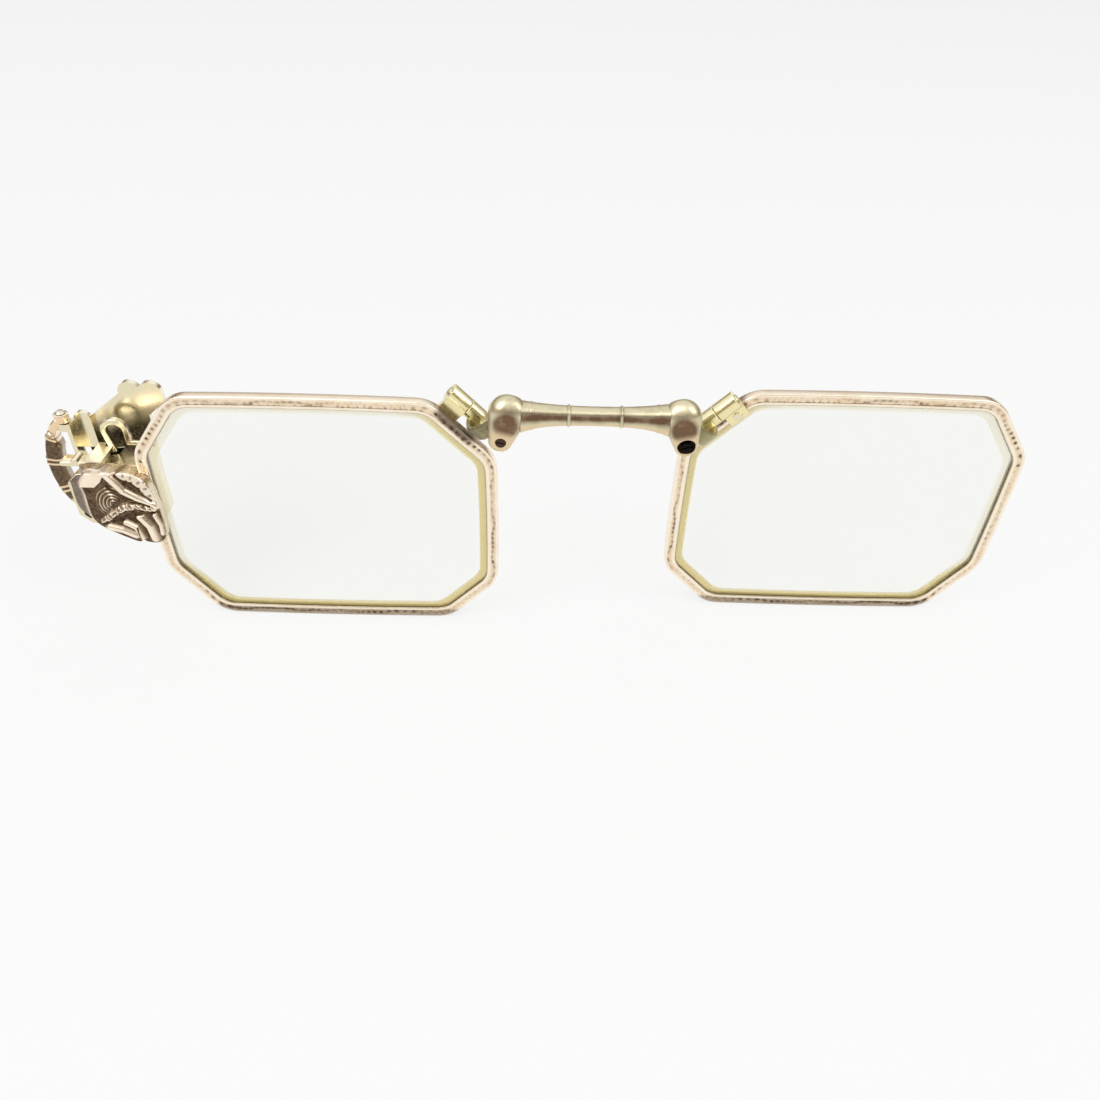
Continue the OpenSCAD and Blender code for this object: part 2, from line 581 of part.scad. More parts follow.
module bail_lugs() {
    lug_z = bail_h - eye_h / 2 - lug_gap - lug_h;
    color(silver) at_bail() {
        difference() {
            union() {
                both_ends() translate([-lug_reach, -eye_r, lug_z]) cube([lug_reach, 2 * eye_r, lug_h]);
                both_ends() translate([0, 0, lug_z]) cylinder(r = eye_r, h = lug_h);
                translate([-lug_reach, -eye_r, -lug_z - e]) cube([lug_reach / 2, 2 * eye_r, 2 * lug_z + 2 * e]);
            }
            both_ends() translate([0, 0, lug_z - e]) cylinder(r = bail_pin_r, h = lug_h + 2 * e);
        }
    }
    // Half round shield behind the upper pivot
    color(silver) at_handle() slab(box_y1 - 0.6, box_y1) {
        translate([shield_x + shield_r, shield_z]) circle(r = shield_r);
        translate([shield_x, box_h(shield_x) + e]) square([2 * shield_r, shield_z - box_h(shield_x) - e]);
    }
}
module bail_pins() {
    lug_z = bail_h - eye_h / 2 - lug_gap - lug_h;
    color(steel) at_bail() both_ends() {
        translate([0, 0, lug_z]) cylinder(r = bail_pin_r, h = lug_h + lug_gap + eye_h + lug_gap);
        translate([0, 0, bail_h + eye_h / 2 + lug_gap]) cylinder(r1 = bail_pin_r * 1.7, r2 = bail_pin_r, h = 0.25);
    }
}

left_rim();
left_lens();
left_hinge_leaf();
left_hinge_pin();
left_leaf_screw();
front_plate();
handle_box();
back_plate();
bail_lugs();
bail_pins();
plate_rivets();
latch_pin();
latch_spring();
latch_hook();
thumb_plate();
bail();
bridge_bar();
left_bulb();
right_bulb();
left_bridge_knuckle();
right_bridge_knuckle();
left_hinge_spring();
right_hinge_spring();
left_bulb_screw();
right_bulb_screw();
right_rim();
right_lens();
right_hinge_leaf();
right_hinge_pin();
right_leaf_screw();
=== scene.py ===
# Folding spring pince nez with an ornamental handle, open and standing on its lower rims.
# Sizes are written in millimetres from the middle of the bridge, and moved into the shared frame at the end.
import json
import math

import bmesh
import bpy
import numpy as np
from mathutils import Matrix, Vector


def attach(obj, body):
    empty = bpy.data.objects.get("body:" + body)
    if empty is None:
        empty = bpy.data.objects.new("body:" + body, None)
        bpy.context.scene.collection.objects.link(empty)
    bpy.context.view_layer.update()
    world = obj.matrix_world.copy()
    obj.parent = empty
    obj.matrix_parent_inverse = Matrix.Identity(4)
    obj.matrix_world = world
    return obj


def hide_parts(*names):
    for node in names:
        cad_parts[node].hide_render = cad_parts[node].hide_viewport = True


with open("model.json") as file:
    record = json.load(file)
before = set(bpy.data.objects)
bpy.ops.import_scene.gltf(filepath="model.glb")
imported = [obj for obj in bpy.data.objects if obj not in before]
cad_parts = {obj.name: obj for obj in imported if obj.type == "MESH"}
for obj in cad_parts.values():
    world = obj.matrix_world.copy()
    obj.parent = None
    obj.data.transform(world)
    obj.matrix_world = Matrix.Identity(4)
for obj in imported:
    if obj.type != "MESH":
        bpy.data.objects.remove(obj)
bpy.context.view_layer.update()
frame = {"nodes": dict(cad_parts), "record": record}
BODY = {node: body for body, nodes in frame["record"]["behaviour"]["bodies"].items() for node in nodes}
TO_FRAME = np.array([6.7, -1.9, 15.3])        # where the middle of the bridge lies in the shared frame

# ---------------------------------------------------------------- Camera
# A product camera from in front and above, as high as in the photograph.
# Its place comes from the rims' corners, the barrels and the bulbs.
CAMERA_RISE, CAMERA_TURN, CAMERA_ROLL = math.radians(39.0), math.radians(1.2), math.radians(-2.11)
CAMERA_DISTANCE, CAMERA_RIGHT, CAMERA_UP = 101.1, 4.20, 3.45
SENSOR, PICTURE, PIXELS_PER_MM = 36, 1100, 8.644        # the last at the middle of the bridge
NEAREST, FARTHEST = 0.005, 20                           # metres


def camera_axes():
    """Right, up and forward directions of the turned, raised and rolled camera."""
    across = np.array([math.cos(CAMERA_TURN), -math.sin(CAMERA_TURN), 0])
    depth = np.array([math.sin(CAMERA_TURN), math.cos(CAMERA_TURN), 0])
    rise = np.array([0, 0, 1.0])
    forward = math.cos(CAMERA_RISE) * depth - math.sin(CAMERA_RISE) * rise
    up = math.sin(CAMERA_RISE) * depth + math.cos(CAMERA_RISE) * rise
    cr, sr = math.cos(CAMERA_ROLL), math.sin(CAMERA_ROLL)
    return cr * across - sr * up, sr * across + cr * up, forward


right, up, forward = camera_axes()
spot = (TO_FRAME - CAMERA_RIGHT * right - CAMERA_UP * up - CAMERA_DISTANCE * forward) / 1000
optics = bpy.data.cameras.new("camera")
optics.lens, optics.sensor_width = SENSOR * PIXELS_PER_MM * CAMERA_DISTANCE / PICTURE, SENSOR
optics.clip_start, optics.clip_end = NEAREST, FARTHEST
camera = bpy.data.objects.new("camera", optics)
turned = np.column_stack([right, up, -forward])
camera.matrix_world = Matrix(np.block([[turned, spot[:, None]], [0, 0, 0, 1]]).tolist())
bpy.context.scene.collection.objects.link(camera)
bpy.context.scene.camera = camera
bpy.context.scene.view_settings.view_transform = "Standard"


# ---------------------------------------------------------------- Floor and light
# A pale sheet of paper, a white room and two large soft lamps.
# Camera, mirror and glass rays see the paper and the room as white, and the shadow stays.
# The walls below the lamps are brown, and only the polished metal shows them.
ROOM_LIGHT = 0.62                       # strength of the room for the rays that light the object
PAPER_WHITE = 0.72                      # how much of the paper is seen as plain white
WALL_LOW, WALL_HIGH = 0.25, 0.55        # the rise of a mirror ray at which the walls turn from brown to white
WHITE, WALL_BROWN, PAPER = "#FFFFFF", "#8E7C6B", "#EFEFEE"
FLOOR_HALF = 3                          # metres
LAMPS = (("key_lamp", (-0.30, -0.35, 0.50), 0.45, 1.6),         # name, place, width in metres, watts
         ("fill_lamp", (0.42, -0.20, 0.42), 0.40, 0.9))
AIM = Vector((0, 0, 0.015))


def linear(code, alpha=1.0):
    """An sRGB hex colour as Blender's linear colour."""
    parts = [int(code[i:i + 2], 16) / 255 for i in (1, 3, 5)]
    return [p / 12.92 if p <= 0.04045 else ((p + 0.055) / 1.055) ** 2.4 for p in parts] + [alpha]


def put(tree, kind, inputs=None, **settings):
    """Adds a node with its settings, and links or sets its inputs."""
    node = tree.nodes.new("ShaderNode" + kind)
    for key, value in settings.items():
        setattr(node, key, value)
    for key, value in (inputs or {}).items():
        if isinstance(value, bpy.types.NodeSocket):
            tree.links.new(value, node.inputs[key])
        else:
            node.inputs[key].default_value = value
    return node


def blank(name):
    """A new material with an empty node tree, and that tree."""
    made = bpy.data.materials.new(name)
    made.use_nodes = True
    made.node_tree.nodes.clear()
    return made, made.node_tree


def seen_white(tree):
    """1 on camera, mirror and glass rays, and 0 on the rays that light the object."""
    path = put(tree, "LightPath").outputs
    either = put(tree, "Math", {0: path["Is Camera Ray"], 1: path["Is Glossy Ray"]}, operation="MAXIMUM")
    seen = put(tree, "Math", {0: either.outputs[0], 1: path["Is Transmission Ray"]}, operation="MAXIMUM")
    return seen.outputs[0]


world = bpy.data.worlds.new("studio")
bpy.context.scene.world = world
world.use_nodes = True
tree = world.node_tree
tree.nodes.clear()
strength = put(tree, "MapRange", {"Value": seen_white(tree), "To Min": ROOM_LIGHT, "To Max": 1.0})
height = put(tree, "SeparateXYZ", {"Vector": put(tree, "TexCoord").outputs["Generated"]})
wall = put(tree, "MapRange", {"Value": height.outputs["Z"], "From Min": WALL_LOW, "From Max": WALL_HIGH,
                              "To Min": 1.0, "To Max": 0.0})
mirrored = put(tree, "Math", {0: wall.outputs[0], 1: put(tree, "LightPath").outputs["Is Glossy Ray"]},
               operation="MULTIPLY")
walls = put(tree, "MixRGB", {0: mirrored.outputs[0], 1: linear(WHITE), 2: linear(WALL_BROWN)})
room = put(tree, "Background", {"Color": walls.outputs[0], "Strength": strength.outputs[0]})
put(tree, "OutputWorld", {"Surface": room.outputs[0]})

paper, tree = blank("matt_white_paper")
sheet = put(tree, "BsdfDiffuse", {"Color": linear(PAPER)})
glow = put(tree, "Emission", {"Color": linear(WHITE), "Strength": 1.0})
share = put(tree, "Math", {0: seen_white(tree), 1: PAPER_WHITE}, operation="MULTIPLY")
both = put(tree, "MixShader", {0: share.outputs[0], 1: sheet.outputs[0], 2: glow.outputs[0]})
put(tree, "OutputMaterial", {"Surface": both.outputs[0]})
ground = bpy.data.meshes.new("floor")
corners = [(x * FLOOR_HALF, y * FLOOR_HALF, 0) for x, y in ((-1, -1), (1, -1), (1, 1), (-1, 1))]
ground.from_pydata(corners, [], [(0, 1, 2, 3)])
ground.materials.append(paper)
floor = bpy.data.objects.new("floor", ground)
bpy.context.scene.collection.objects.link(floor)

for name, place, width, power in LAMPS:
    lamp = bpy.data.lights.new(name, "AREA")
    lamp.energy, lamp.size = power, width
    stand = bpy.data.objects.new(name, lamp)
    stand.location = place
    stand.rotation_mode = "QUATERNION"
    stand.rotation_quaternion = (AIM - stand.location).to_track_quat("-Z", "Y")
    bpy.context.scene.collection.objects.link(stand)


# ---------------------------------------------------------------- Metals
# The mounts are worn silver: warm, softly polished, dark with old tarnish in every cut.
# The hinges are pale yellow brass, drawn as tube and left bright, and the pins are steel.
NOISE_LOW, NOISE_HIGH = 0.3, 0.7              # nearly all of a noise lies between these
CLOUD, HAIR, HAIR_STRETCH = 6, 2, 9           # a cloud and a hairline, in grains, and how a hairline is drawn out
CLOUD_PALER, CLOUD_DARKER = -0.22, 0.30
THIN_TARNISH = 0.78                           # what is left of the tarnish on its thinnest specks
TARNISH_DULLS, SMOOTHER, ROUGHER = 0.25, 0.05, 0.08
GRAIN_BUMP = 0.12


def metal(name, light, shade, tarnish, rough, grain_mm, grain_up, gilding="#D9CF94"):
    """Worn polished metal: painted shade on its fronts, tarnish and painted shade where marked, and hairlines
    across it.

    Three attributes say where: the fronts' painted shade and tarnish tone, the gilding and painted reflection, and
    the tarnish and painted shade. A grain is the width of a rubbed speck in millimetres, and its height in
    thousandths of one, drawn as coarse as it needs to show.
    """
    made, tree = blank(name)
    usual = {"From Min": NOISE_LOW, "From Max": NOISE_HIGH}
    place = put(tree, "TexCoord").outputs["Object"]
    cloud = put(tree, "TexNoise", {"Vector": place, "Scale": 1000 / (CLOUD * grain_mm), "Detail": 4.0,
                                   "Roughness": 0.6})
    drift = put(tree, "MapRange", {"Value": cloud.outputs["Fac"], **usual, "To Min": CLOUD_PALER,
                                   "To Max": CLOUD_DARKER})
    # Painted shade: the shade colour is mixed in on faces that look to the front or back; on the rims and the front
    # plate the same mark is tarnish tone.
    front = put(tree, "Attribute", attribute_name="front_skin")
    share = put(tree, "Math", {0: front.outputs["Fac"], 1: drift.outputs[0]}, operation="ADD", use_clamp=True)
    tone = put(tree, "MixRGB", {0: share.outputs[0], 1: linear(light), 2: linear(shade)})
    # The gilding mark is gilding on the rims' inner lip, and a painted reflection of the paper on the lower bulbs
    # and the bar's lip.
    gilt = put(tree, "Attribute", attribute_name="gilding")
    warmed = put(tree, "MixRGB", {0: gilt.outputs["Fac"], 1: tone.outputs[0], 2: linear(gilding)})
    # The dark mark carries tarnish in the chasing and painted shade: round the hinges, in the lens groove and
    # holes, along low edges and behind the latch.
    cut = put(tree, "Attribute", attribute_name="patina")
    specks = put(tree, "TexNoise", {"Vector": place, "Scale": 1000 / grain_mm, "Detail": 3.0, "Roughness": 0.7})
    thin = put(tree, "MapRange", {"Value": specks.outputs["Fac"], **usual, "To Min": THIN_TARNISH})
    dirt = put(tree, "Math", {0: cut.outputs["Fac"], 1: thin.outputs[0]}, operation="MULTIPLY", use_clamp=True)
    colour = put(tree, "MixRGB", {0: dirt.outputs[0], 1: warmed.outputs[0], 2: linear(tarnish)})
    long_way = put(tree, "Mapping", {"Vector": place, "Scale": (1, 1, HAIR_STRETCH)})
    hair = put(tree, "TexNoise", {"Vector": long_way.outputs[0], "Scale": 1000 / (HAIR * grain_mm),
                                  "Detail": 2.0})
    satin = put(tree, "MapRange", {"Value": hair.outputs["Fac"], **usual, "To Min": rough - SMOOTHER,
                                   "To Max": rough + ROUGHER})
    dull = put(tree, "Math", {0: dirt.outputs[0], 1: TARNISH_DULLS, 2: satin.outputs[0]},
               operation="MULTIPLY_ADD")
    raised = put(tree, "Bump", {"Height": specks.outputs["Fac"], "Strength": GRAIN_BUMP,
                                "Distance": grain_up / 1e6})
    shader = put(tree, "BsdfPrincipled", {"Base Color": colour.outputs[0], "Metallic": 1.0,
                                          "Roughness": dull.outputs[0], "Normal": raised.outputs[0]})
    put(tree, "OutputMaterial", {"Surface": shader.outputs[0]})
    return made


# Worn silver, cast or drawn and polished by hand: a warm gloss, and brown tarnish in the chasing.
SILVER = metal("worn_silver", "#FFF2DD", "#EFD3AE", "#3E2717", 0.20, 0.35, 22)
# Silver sheet, sawn and rubbed bright: paler and smoother; its nearly black dark colour paints the shadow behind
# the latch and darkens the box's inner faces.
PALE_SILVER = metal("rubbed_silver", "#F8F1DA", "#E8DDBC", "#2C2116", 0.18, 0.35, 10)
# Castings left satin from the pickle, with a brown painted reflection in front and a pale painted reflection below.
BRIDGE_SILVER = metal("satin_silver_castings", "#DED5B4", "#795F49", "#1C1512", 0.33, 0.30, 8,
                      gilding="#E6D0AA")
# Drawn brass tube, turned and left bright: clear pale yellow with soft long highlights.
BRASS = metal("bright_yellow_brass", "#FFF8D2", "#F3E7B2", "#3E3420", 0.22, 0.30, 8)
# Drawn steel wire: a plain cool grey.
STEEL = metal("plain_steel_wire", "#BDBDBE", "#8C8C90", "#1D1B1B", 0.25, 0.25, 8)


def front_skin(mesh):
    """Paints shade by how far each face looks to the front or back: 1.05 depth ** 1.5 - 0.5 rise ** 1.5 of its
    normal.
    """
    normal = np.empty(3 * len(mesh.polygons), np.float32)
    mesh.polygons.foreach_get("normal", normal)
    normal = normal.reshape(-1, 3)
    share = np.clip(np.abs(normal[:, 1]) ** 1.5 * 1.05 - 0.5 * np.abs(normal[:, 2]) ** 1.5, 0, 1)
    mesh.attributes.new("front_skin", "FLOAT", "FACE").data.foreach_set("value", share)


# ---------------------------------------------------------------- Rims
# Each rim is a silver channel bent round its lens and closed at the hinge.
# Both faces have a worn band of chasing between two plain borders: flecks, short dashes, and plain stretches.
LENS_WIDTH, LENS_HEIGHT, BOW = 37.0, 27.9, 0.35        # each edge bows outwards by the last
RIM_FACE, CORNER = 1.35, 2.6
HALF_W, HALF_H = LENS_WIDTH / 2 - BOW, LENS_HEIGHT / 2 - BOW
NOSE_GAP, HINGE_SEAT, HINGE_X, BACK_Y = 20.3, 1.6, 13.5, 3.7        # the far rim stands back by the last
OPEN_X = NOSE_GAP / 2 + RIM_FACE + BOW
LENS_X = OPEN_X + HALF_W
HINGE_CUT = HALF_H - OPEN_X + (RIM_FACE + HINGE_SEAT) * math.sqrt(2)
OUTER_CORNER, HINGE_CORNER, NOSE_CORNER = (4.3, 6.0), (HINGE_CUT, HINGE_CUT), (5.0, 5.0)     # cut off in X and Z
CORNER_STEPS, RIM_STEPS = 30, 1500
# Half of the channel's section, from its outer edge to the groove: across the face, and the depth of its front.
FACE_ACROSS = np.array([1.35, 1.34, 1.31, 1.25, 1.17, 1.10, 1.05, 0.97, 0.88, 0.78, 0.70, 0.62, 0.54, 0.47,
                        0.41, 0.34, 0.25, 0.15, 0.06, 0.01, 0.0])
FACE_DEPTH = np.array([-0.46, -0.52, -0.57, -0.59, -0.59, -0.57, -0.55, -0.54, -0.54, -0.54, -0.54, -0.54,
                       -0.54, -0.55, -0.57, -0.59, -0.59, -0.59, -0.57, -0.52, -0.46])
LIP_DEPTH = 0.575
BAND_FROM, BAND_WIDTH, DASH_PITCH = 0.40, 0.70, 0.84
DASH_RAISED, FLECK_RAISED, DASH_DARK, FLECK_DARK = 0.07, 0.03, 1.25, 0.24
SOOT_REACH = 3.5


def even(points, count):
    """A closed line of points spaced evenly along itself, and its length."""
    closed = np.vstack([points, points[:1]])
    run = np.concatenate([[0], np.cumsum(np.linalg.norm(np.diff(closed, axis=0), axis=1))])
    at = np.linspace(0, run[-1], count, endpoint=False)
    return np.column_stack([np.interp(at, run, closed[:, k]) for k in range(closed.shape[1])]), run[-1]


def smooth(value):
    """0 below 0, 1 above 1, and an S between."""
    value = np.clip(value, 0, 1)
    return value * value * (3 - 2 * value)


def opening(count):
    """The opening's outline, its outward normals and its length: eight edges bowed outwards, round corners.

    Each edge is a direction and a distance from the middle; an arc of radius CORNER joins it to the next.
    """
    def cut(run_x, run_z):
        reach = (run_z * HALF_W + run_x * HALF_H - run_x * run_z) / math.hypot(run_x, run_z)
        return math.atan2(run_x, run_z), reach
    outer, hinge, nose = cut(*OUTER_CORNER), cut(*HINGE_CORNER), cut(*NOSE_CORNER)
    turn = math.pi
    edges = [(0, HALF_W), outer, (turn / 2, HALF_H), (turn - hinge[0], hinge[1]), (turn, HALF_W),
             (turn + nose[0], nose[1]), (1.5 * turn, HALF_H), (2 * turn - outer[0], outer[1]),
             (2 * turn, HALF_W)]
    arcs = []
    for (a, p), (b, q) in zip(edges, edges[1:]):
        p, q, s = p - CORNER, q - CORNER, math.sin(b - a)
        middle = np.array([(p * math.sin(b) - q * math.sin(a)) / s, (q * math.cos(a) - p * math.cos(b)) / s])
        sweep = np.linspace(a, b, CORNER_STEPS)
        arcs.append(middle + CORNER * np.column_stack([np.cos(sweep), np.sin(sweep)]))
    line, _ = even(np.vstack(arcs), 4 * count)
    x = line[:, 0] * (1 + BOW * (1 - (line[:, 1] / (HALF_H + RIM_FACE)) ** 2) / HALF_W)
    z = line[:, 1] * (1 + BOW * (1 - (line[:, 0] / (HALF_W + RIM_FACE)) ** 2) / HALF_H)
    line, length = even(np.column_stack([x, z]), count)
    ahead = np.roll(line, -1, 0) - np.roll(line, 1, 0)
    ahead /= np.linalg.norm(ahead, axis=1)[:, None]
    return line, np.column_stack([ahead[:, 1], -ahead[:, 0]]), length


def skin(name, points, metals, body, replaced=(), wrap_u=True, wrap_v=False, marks=None,
         crease=None):
    """A surface through a grid of points in millimetres, closed round u or v or capped, facing outwards.

    The volume of the cones from the middle to its faces is below zero when they face inwards, and they are turned.
    """
    nu, nv = points.shape[:2]
    index = np.arange(nu * nv).reshape(nu, nv)
    i, j = np.meshgrid(np.arange(nu if wrap_u else nu - 1), np.arange(nv if wrap_v else nv - 1),
                       indexing="ij")
    i2, j2 = (i + 1) % nu, (j + 1) % nv
    quads = np.stack([index[i, j], index[i2, j], index[i2, j2], index[i, j2]], -1).reshape(-1, 4)
    flat = points.reshape(-1, 3)
    corner = flat[quads] - flat.mean(0)
    volume = sum(np.einsum("ij,ij->i", corner[:, 0], np.cross(corner[:, k], corner[:, k + 1])).sum()
                 for k in (1, 2))
    faces = quads.tolist()
    if wrap_u and not wrap_v:
        faces += [index[::-1, 0].tolist(), index[:, -1].tolist()]
    if volume < 0:
        faces = [face[::-1] for face in faces]
    mesh = bpy.data.meshes.new(name)
    mesh.from_pydata(((flat + TO_FRAME) / 1000).tolist(), [], faces)
    for key, values in (marks or {}).items():
        mark = mesh.attributes.new(key, "FLOAT", "POINT")
        mark.data.foreach_set("value", values.astype(np.float32).ravel())
    mesh.shade_smooth()
    if crease:
        mesh.set_sharp_from_angle(angle=math.radians(crease))
    mesh.materials.append(metals)
    return own(name, mesh, body, replaced)


def own(name, mesh, body, replaced):
    """Puts a mesh into the scene as a piece of a body, in place of the CAD nodes that it stands for."""
    # A piece without its own front mark gets painted shade by the direction of its faces.
    if "front_skin" not in mesh.attributes:
        front_skin(mesh)
    piece = bpy.data.objects.new(name, mesh)
    bpy.context.scene.collection.objects.link(piece)
    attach(piece, body)
    if replaced:
        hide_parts(*replaced)
    return piece


def rim_section(along):
    """Depth of the channel's front at each step along it, how dark its chasing is, and its tarnish tone, darker in
    the chased band: (steps, points).

    A dash is a bell round the nearest whole pitch and round a swaying line in the band, longer and flatter
    where it was drawn out. Flecks are a fast wave along the rim times a wave across it, where dashes don't crowd.
    """
    band = np.clip((FACE_ACROSS - BAND_FROM) / BAND_WIDTH, 0, 1)
    inside = np.clip(4 * band * (1 - band) * 1.6, 0, 1)
    run = along[:, None]
    crowd = np.clip(0.55 + 0.9 * np.sin(run / 3.9 + 0.6) * np.cos(run / 9.7), 0.1, 1)
    drawn = 0.5 + 0.5 * np.sin(run / 5.3 - 1.9)
    away = (run / DASH_PITCH - 0.55 * np.sin(run / 1.9) + 0.5) % 1 - 0.5
    sway = band - 0.5 - 0.22 * np.sin(run / 1.3 + np.sin(run / 0.9))
    dashes = np.exp(-(away / (0.20 + 0.30 * drawn)) ** 2 - (sway / (0.30 - 0.10 * drawn)) ** 2) * crowd
    dashes = dashes * (1 - 0.35 * drawn) * (0.9 + 0.35 * np.sin(run / 0.67 + 3 * np.sin(run / 2.3)))
    flecks = np.sin(run / 0.13 + 2.1 * np.sin(run / 0.71)) * np.cos(5.2 * band + 1.9 * np.sin(run / 0.43))
    flecks = np.clip(1.5 * flecks - 0.2, 0, 1) * inside * (1 - 0.7 * crowd)
    depth = FACE_DEPTH + DASH_RAISED * dashes * inside + FLECK_RAISED * flecks
    dark = np.clip(dashes * inside * DASH_DARK + FLECK_DARK * flecks + 0.02 * inside, 0, 1)
    return depth, dark, np.clip(0.05 + 0.55 * inside, 0, 1) * np.ones(dark.shape)


def rim(side, name):
    """The section and its mirror image at the back, carried along the opening's outline.

    Painted shade is added round the hinge, in the lens's groove and along the lowest edge.
    """
    line, normal, length = opening(RIM_STEPS)
    step = np.arange(len(line)) * length / len(line)
    depth, dark, tone = rim_section(step * round(length / DASH_PITCH) * DASH_PITCH / length)
    offset = np.concatenate([FACE_ACROSS, FACE_ACROSS[::-1]])
    depth = np.concatenate([depth, -depth[:, ::-1]], axis=1)
    dark = np.concatenate([dark, dark[:, ::-1]], axis=1)
    tone = np.concatenate([tone, tone[:, ::-1]], axis=1)
    x = line[:, :1] + offset * normal[:, :1]
    z = line[:, 1:] + offset * normal[:, 1:]
    y = depth + (BACK_Y if side > 0 else 0.0)
    hinge = np.hypot(LENS_X + x - HINGE_X, z - HINGE_X)
    # Painted shade: round the hinge, where the barrel shades the face; a dark line in the lens's groove; and along
    # the lowest edge.
    soot = np.clip((SOOT_REACH - hinge) / 0.8, 0, 1) * np.clip((offset - 0.35) / 0.3, 0, 1)
    groove = np.clip(1 - offset / 0.10, 0, 1) * (np.abs(depth) < LIP_DEPTH)
    under = np.clip((-z - HALF_H - 0.2) / 0.5, 0, 1) * np.clip((offset - 0.2) / 0.3, 0, 1)
    dark = np.clip(dark + 0.85 * soot + 0.8 * groove + 0.6 * under, 0, 1)
    gilt = np.broadcast_to(np.clip(1 - offset / 0.12, 0, 1) * 0.5, x.shape)
    skin(name, np.stack([side * (LENS_X + x), y, z], -1), SILVER, BODY[name], [name],
         wrap_v=True, marks={"patina": dark, "gilding": gilt, "front_skin": tone})


rim(-1, "left_rim")
rim(1, "right_rim")


# ---------------------------------------------------------------- Lenses
# Each lens is clear crown glass, ground a little convex on both sides and finely scratched by wiping.
# Its edge is ground to a V that sits in the rim's groove, and the old bedding shows yellow below and by the nose.
CLEAR, BEDDING_SEEN_THROUGH, BEDDING, GLASS_SHADOW = "#FAFBF8", "#F6ECC4", "#E4D28C", "#F7F8F4"
CROWN_IOR = 1.52
SCRATCHES_PER_M, SCRATCH_LEAN, SCRATCH_STRETCH, SCRATCH_DULLS = 160.0, 0.7, 14, 0.06
LENS_STEPS, FACE_RINGS = 360, 24
LENS_FRONT, LENS_BULGE, EDGE_DEEP, BEVEL_FROM = -0.56, 0.24, 0.38, 0.957        # the last as a share


def glass():
    """Clear glass with a chalky yellow edge and a few leaning hairline scratches."""
    made, tree = blank("ground_crown_glass")
    place = put(tree, "TexCoord").outputs["Object"]
    edge = put(tree, "Attribute", attribute_name="ground_edge")
    colour = put(tree, "MixRGB", {0: edge.outputs["Fac"], 1: linear(CLEAR), 2: linear(BEDDING_SEEN_THROUGH)})
    leaning = put(tree, "Mapping", {"Vector": place, "Rotation": (0, SCRATCH_LEAN, 0),
                                    "Scale": (1, 1, SCRATCH_STRETCH)})
    hair = put(tree, "TexNoise", {"Vector": leaning.outputs[0], "Scale": SCRATCHES_PER_M, "Detail": 6.0,
                                  "Roughness": 0.7})
    scratch = put(tree, "MapRange", {"Value": hair.outputs["Fac"], "From Min": 0.60, "From Max": 0.78,
                                     "To Min": 0.0, "To Max": SCRATCH_DULLS})
    frosted = put(tree, "Math", {0: edge.outputs["Fac"], 1: 0.25, 2: scratch.outputs[0]},
                  operation="MULTIPLY_ADD")
    clear = put(tree, "BsdfPrincipled", {"Base Color": colour.outputs[0], "Roughness": frosted.outputs[0],
                                         "IOR": CROWN_IOR, "Transmission Weight": 1.0})
    through = put(tree, "BsdfTransparent", {"Color": linear(GLASS_SHADOW)})
    shadow = put(tree, "LightPath").outputs["Is Shadow Ray"]
    bedding = put(tree, "BsdfDiffuse", {"Color": linear(BEDDING)})
    chalky = put(tree, "Math", {0: edge.outputs["Fac"], 1: 0.40}, operation="MULTIPLY")
    rubbed = put(tree, "MixShader", {0: chalky.outputs[0], 1: clear.outputs[0], 2: bedding.outputs[0]})
    both = put(tree, "MixShader", {0: shadow, 1: rubbed.outputs[0], 2: through.outputs[0]})
    put(tree, "OutputMaterial", {"Surface": both.outputs[0]})
    return made


GLASS = glass()


def ground_lens(side, name):
    """Rings from the middle of the front, out over the V edge, and back to the middle of the rear face.

    A ring is the opening's outline times its share, and the face falls back with the square of the share.
    """
    line, normal, _ = opening(LENS_STEPS)
    share = np.concatenate([np.linspace(0.002, 0.955, FACE_RINGS), [0.960, 0.98, 1.0]])
    front = LENS_FRONT + LENS_BULGE * share ** 2
    face = line[:, None] * share[:, None] - normal[:, None] * 0.05 * share[:, None]
    flat = np.concatenate([face, (line + normal * EDGE_DEEP)[:, None], face[:, ::-1]], axis=1)
    y = np.concatenate([front, [0.0], -front[::-1]]) + (BACK_Y if side > 0 else 0.0)
    bevel = (share > BEVEL_FROM).astype(float)
    low = np.maximum(-flat[..., 0] / HALF_W, -flat[..., 1] / HALF_H)
    edge = np.concatenate([bevel, [1.0], bevel[::-1]]) * (0.25 + 0.75 * smooth((low - 0.45) / 0.4))
    points = np.stack([side * (LENS_X + flat[..., 0]), np.broadcast_to(y, flat.shape[:2]), flat[..., 1]], -1)
    skin(name, points, GLASS, BODY[name], [name], marks={"ground_edge": edge}, crease=35)


ground_lens(-1, "left_lens")
ground_lens(1, "right_lens")


# ---------------------------------------------------------------- Turned and sawn small pieces
# Leaves, knuckles, pins, screws and the sheet parts of the handle and latch keep their CAD form.
# The maker broke every sharp edge with a fine file, so each copy gets a small round on its edges.
# The back plate's inner face is painted black behind the latch, as the handle box's shadow, and left pale above a
# slanting line.
WIPED_X, WIPED_Z, WIPED_UP = -46.0, 24.1, np.array([-0.32, 0, 0.947])        # in the shared frame
WIPED_CUTS = np.arange(-2.4, 0.9, 0.15)
JOINED, FLAT = 2e-6, math.radians(2)


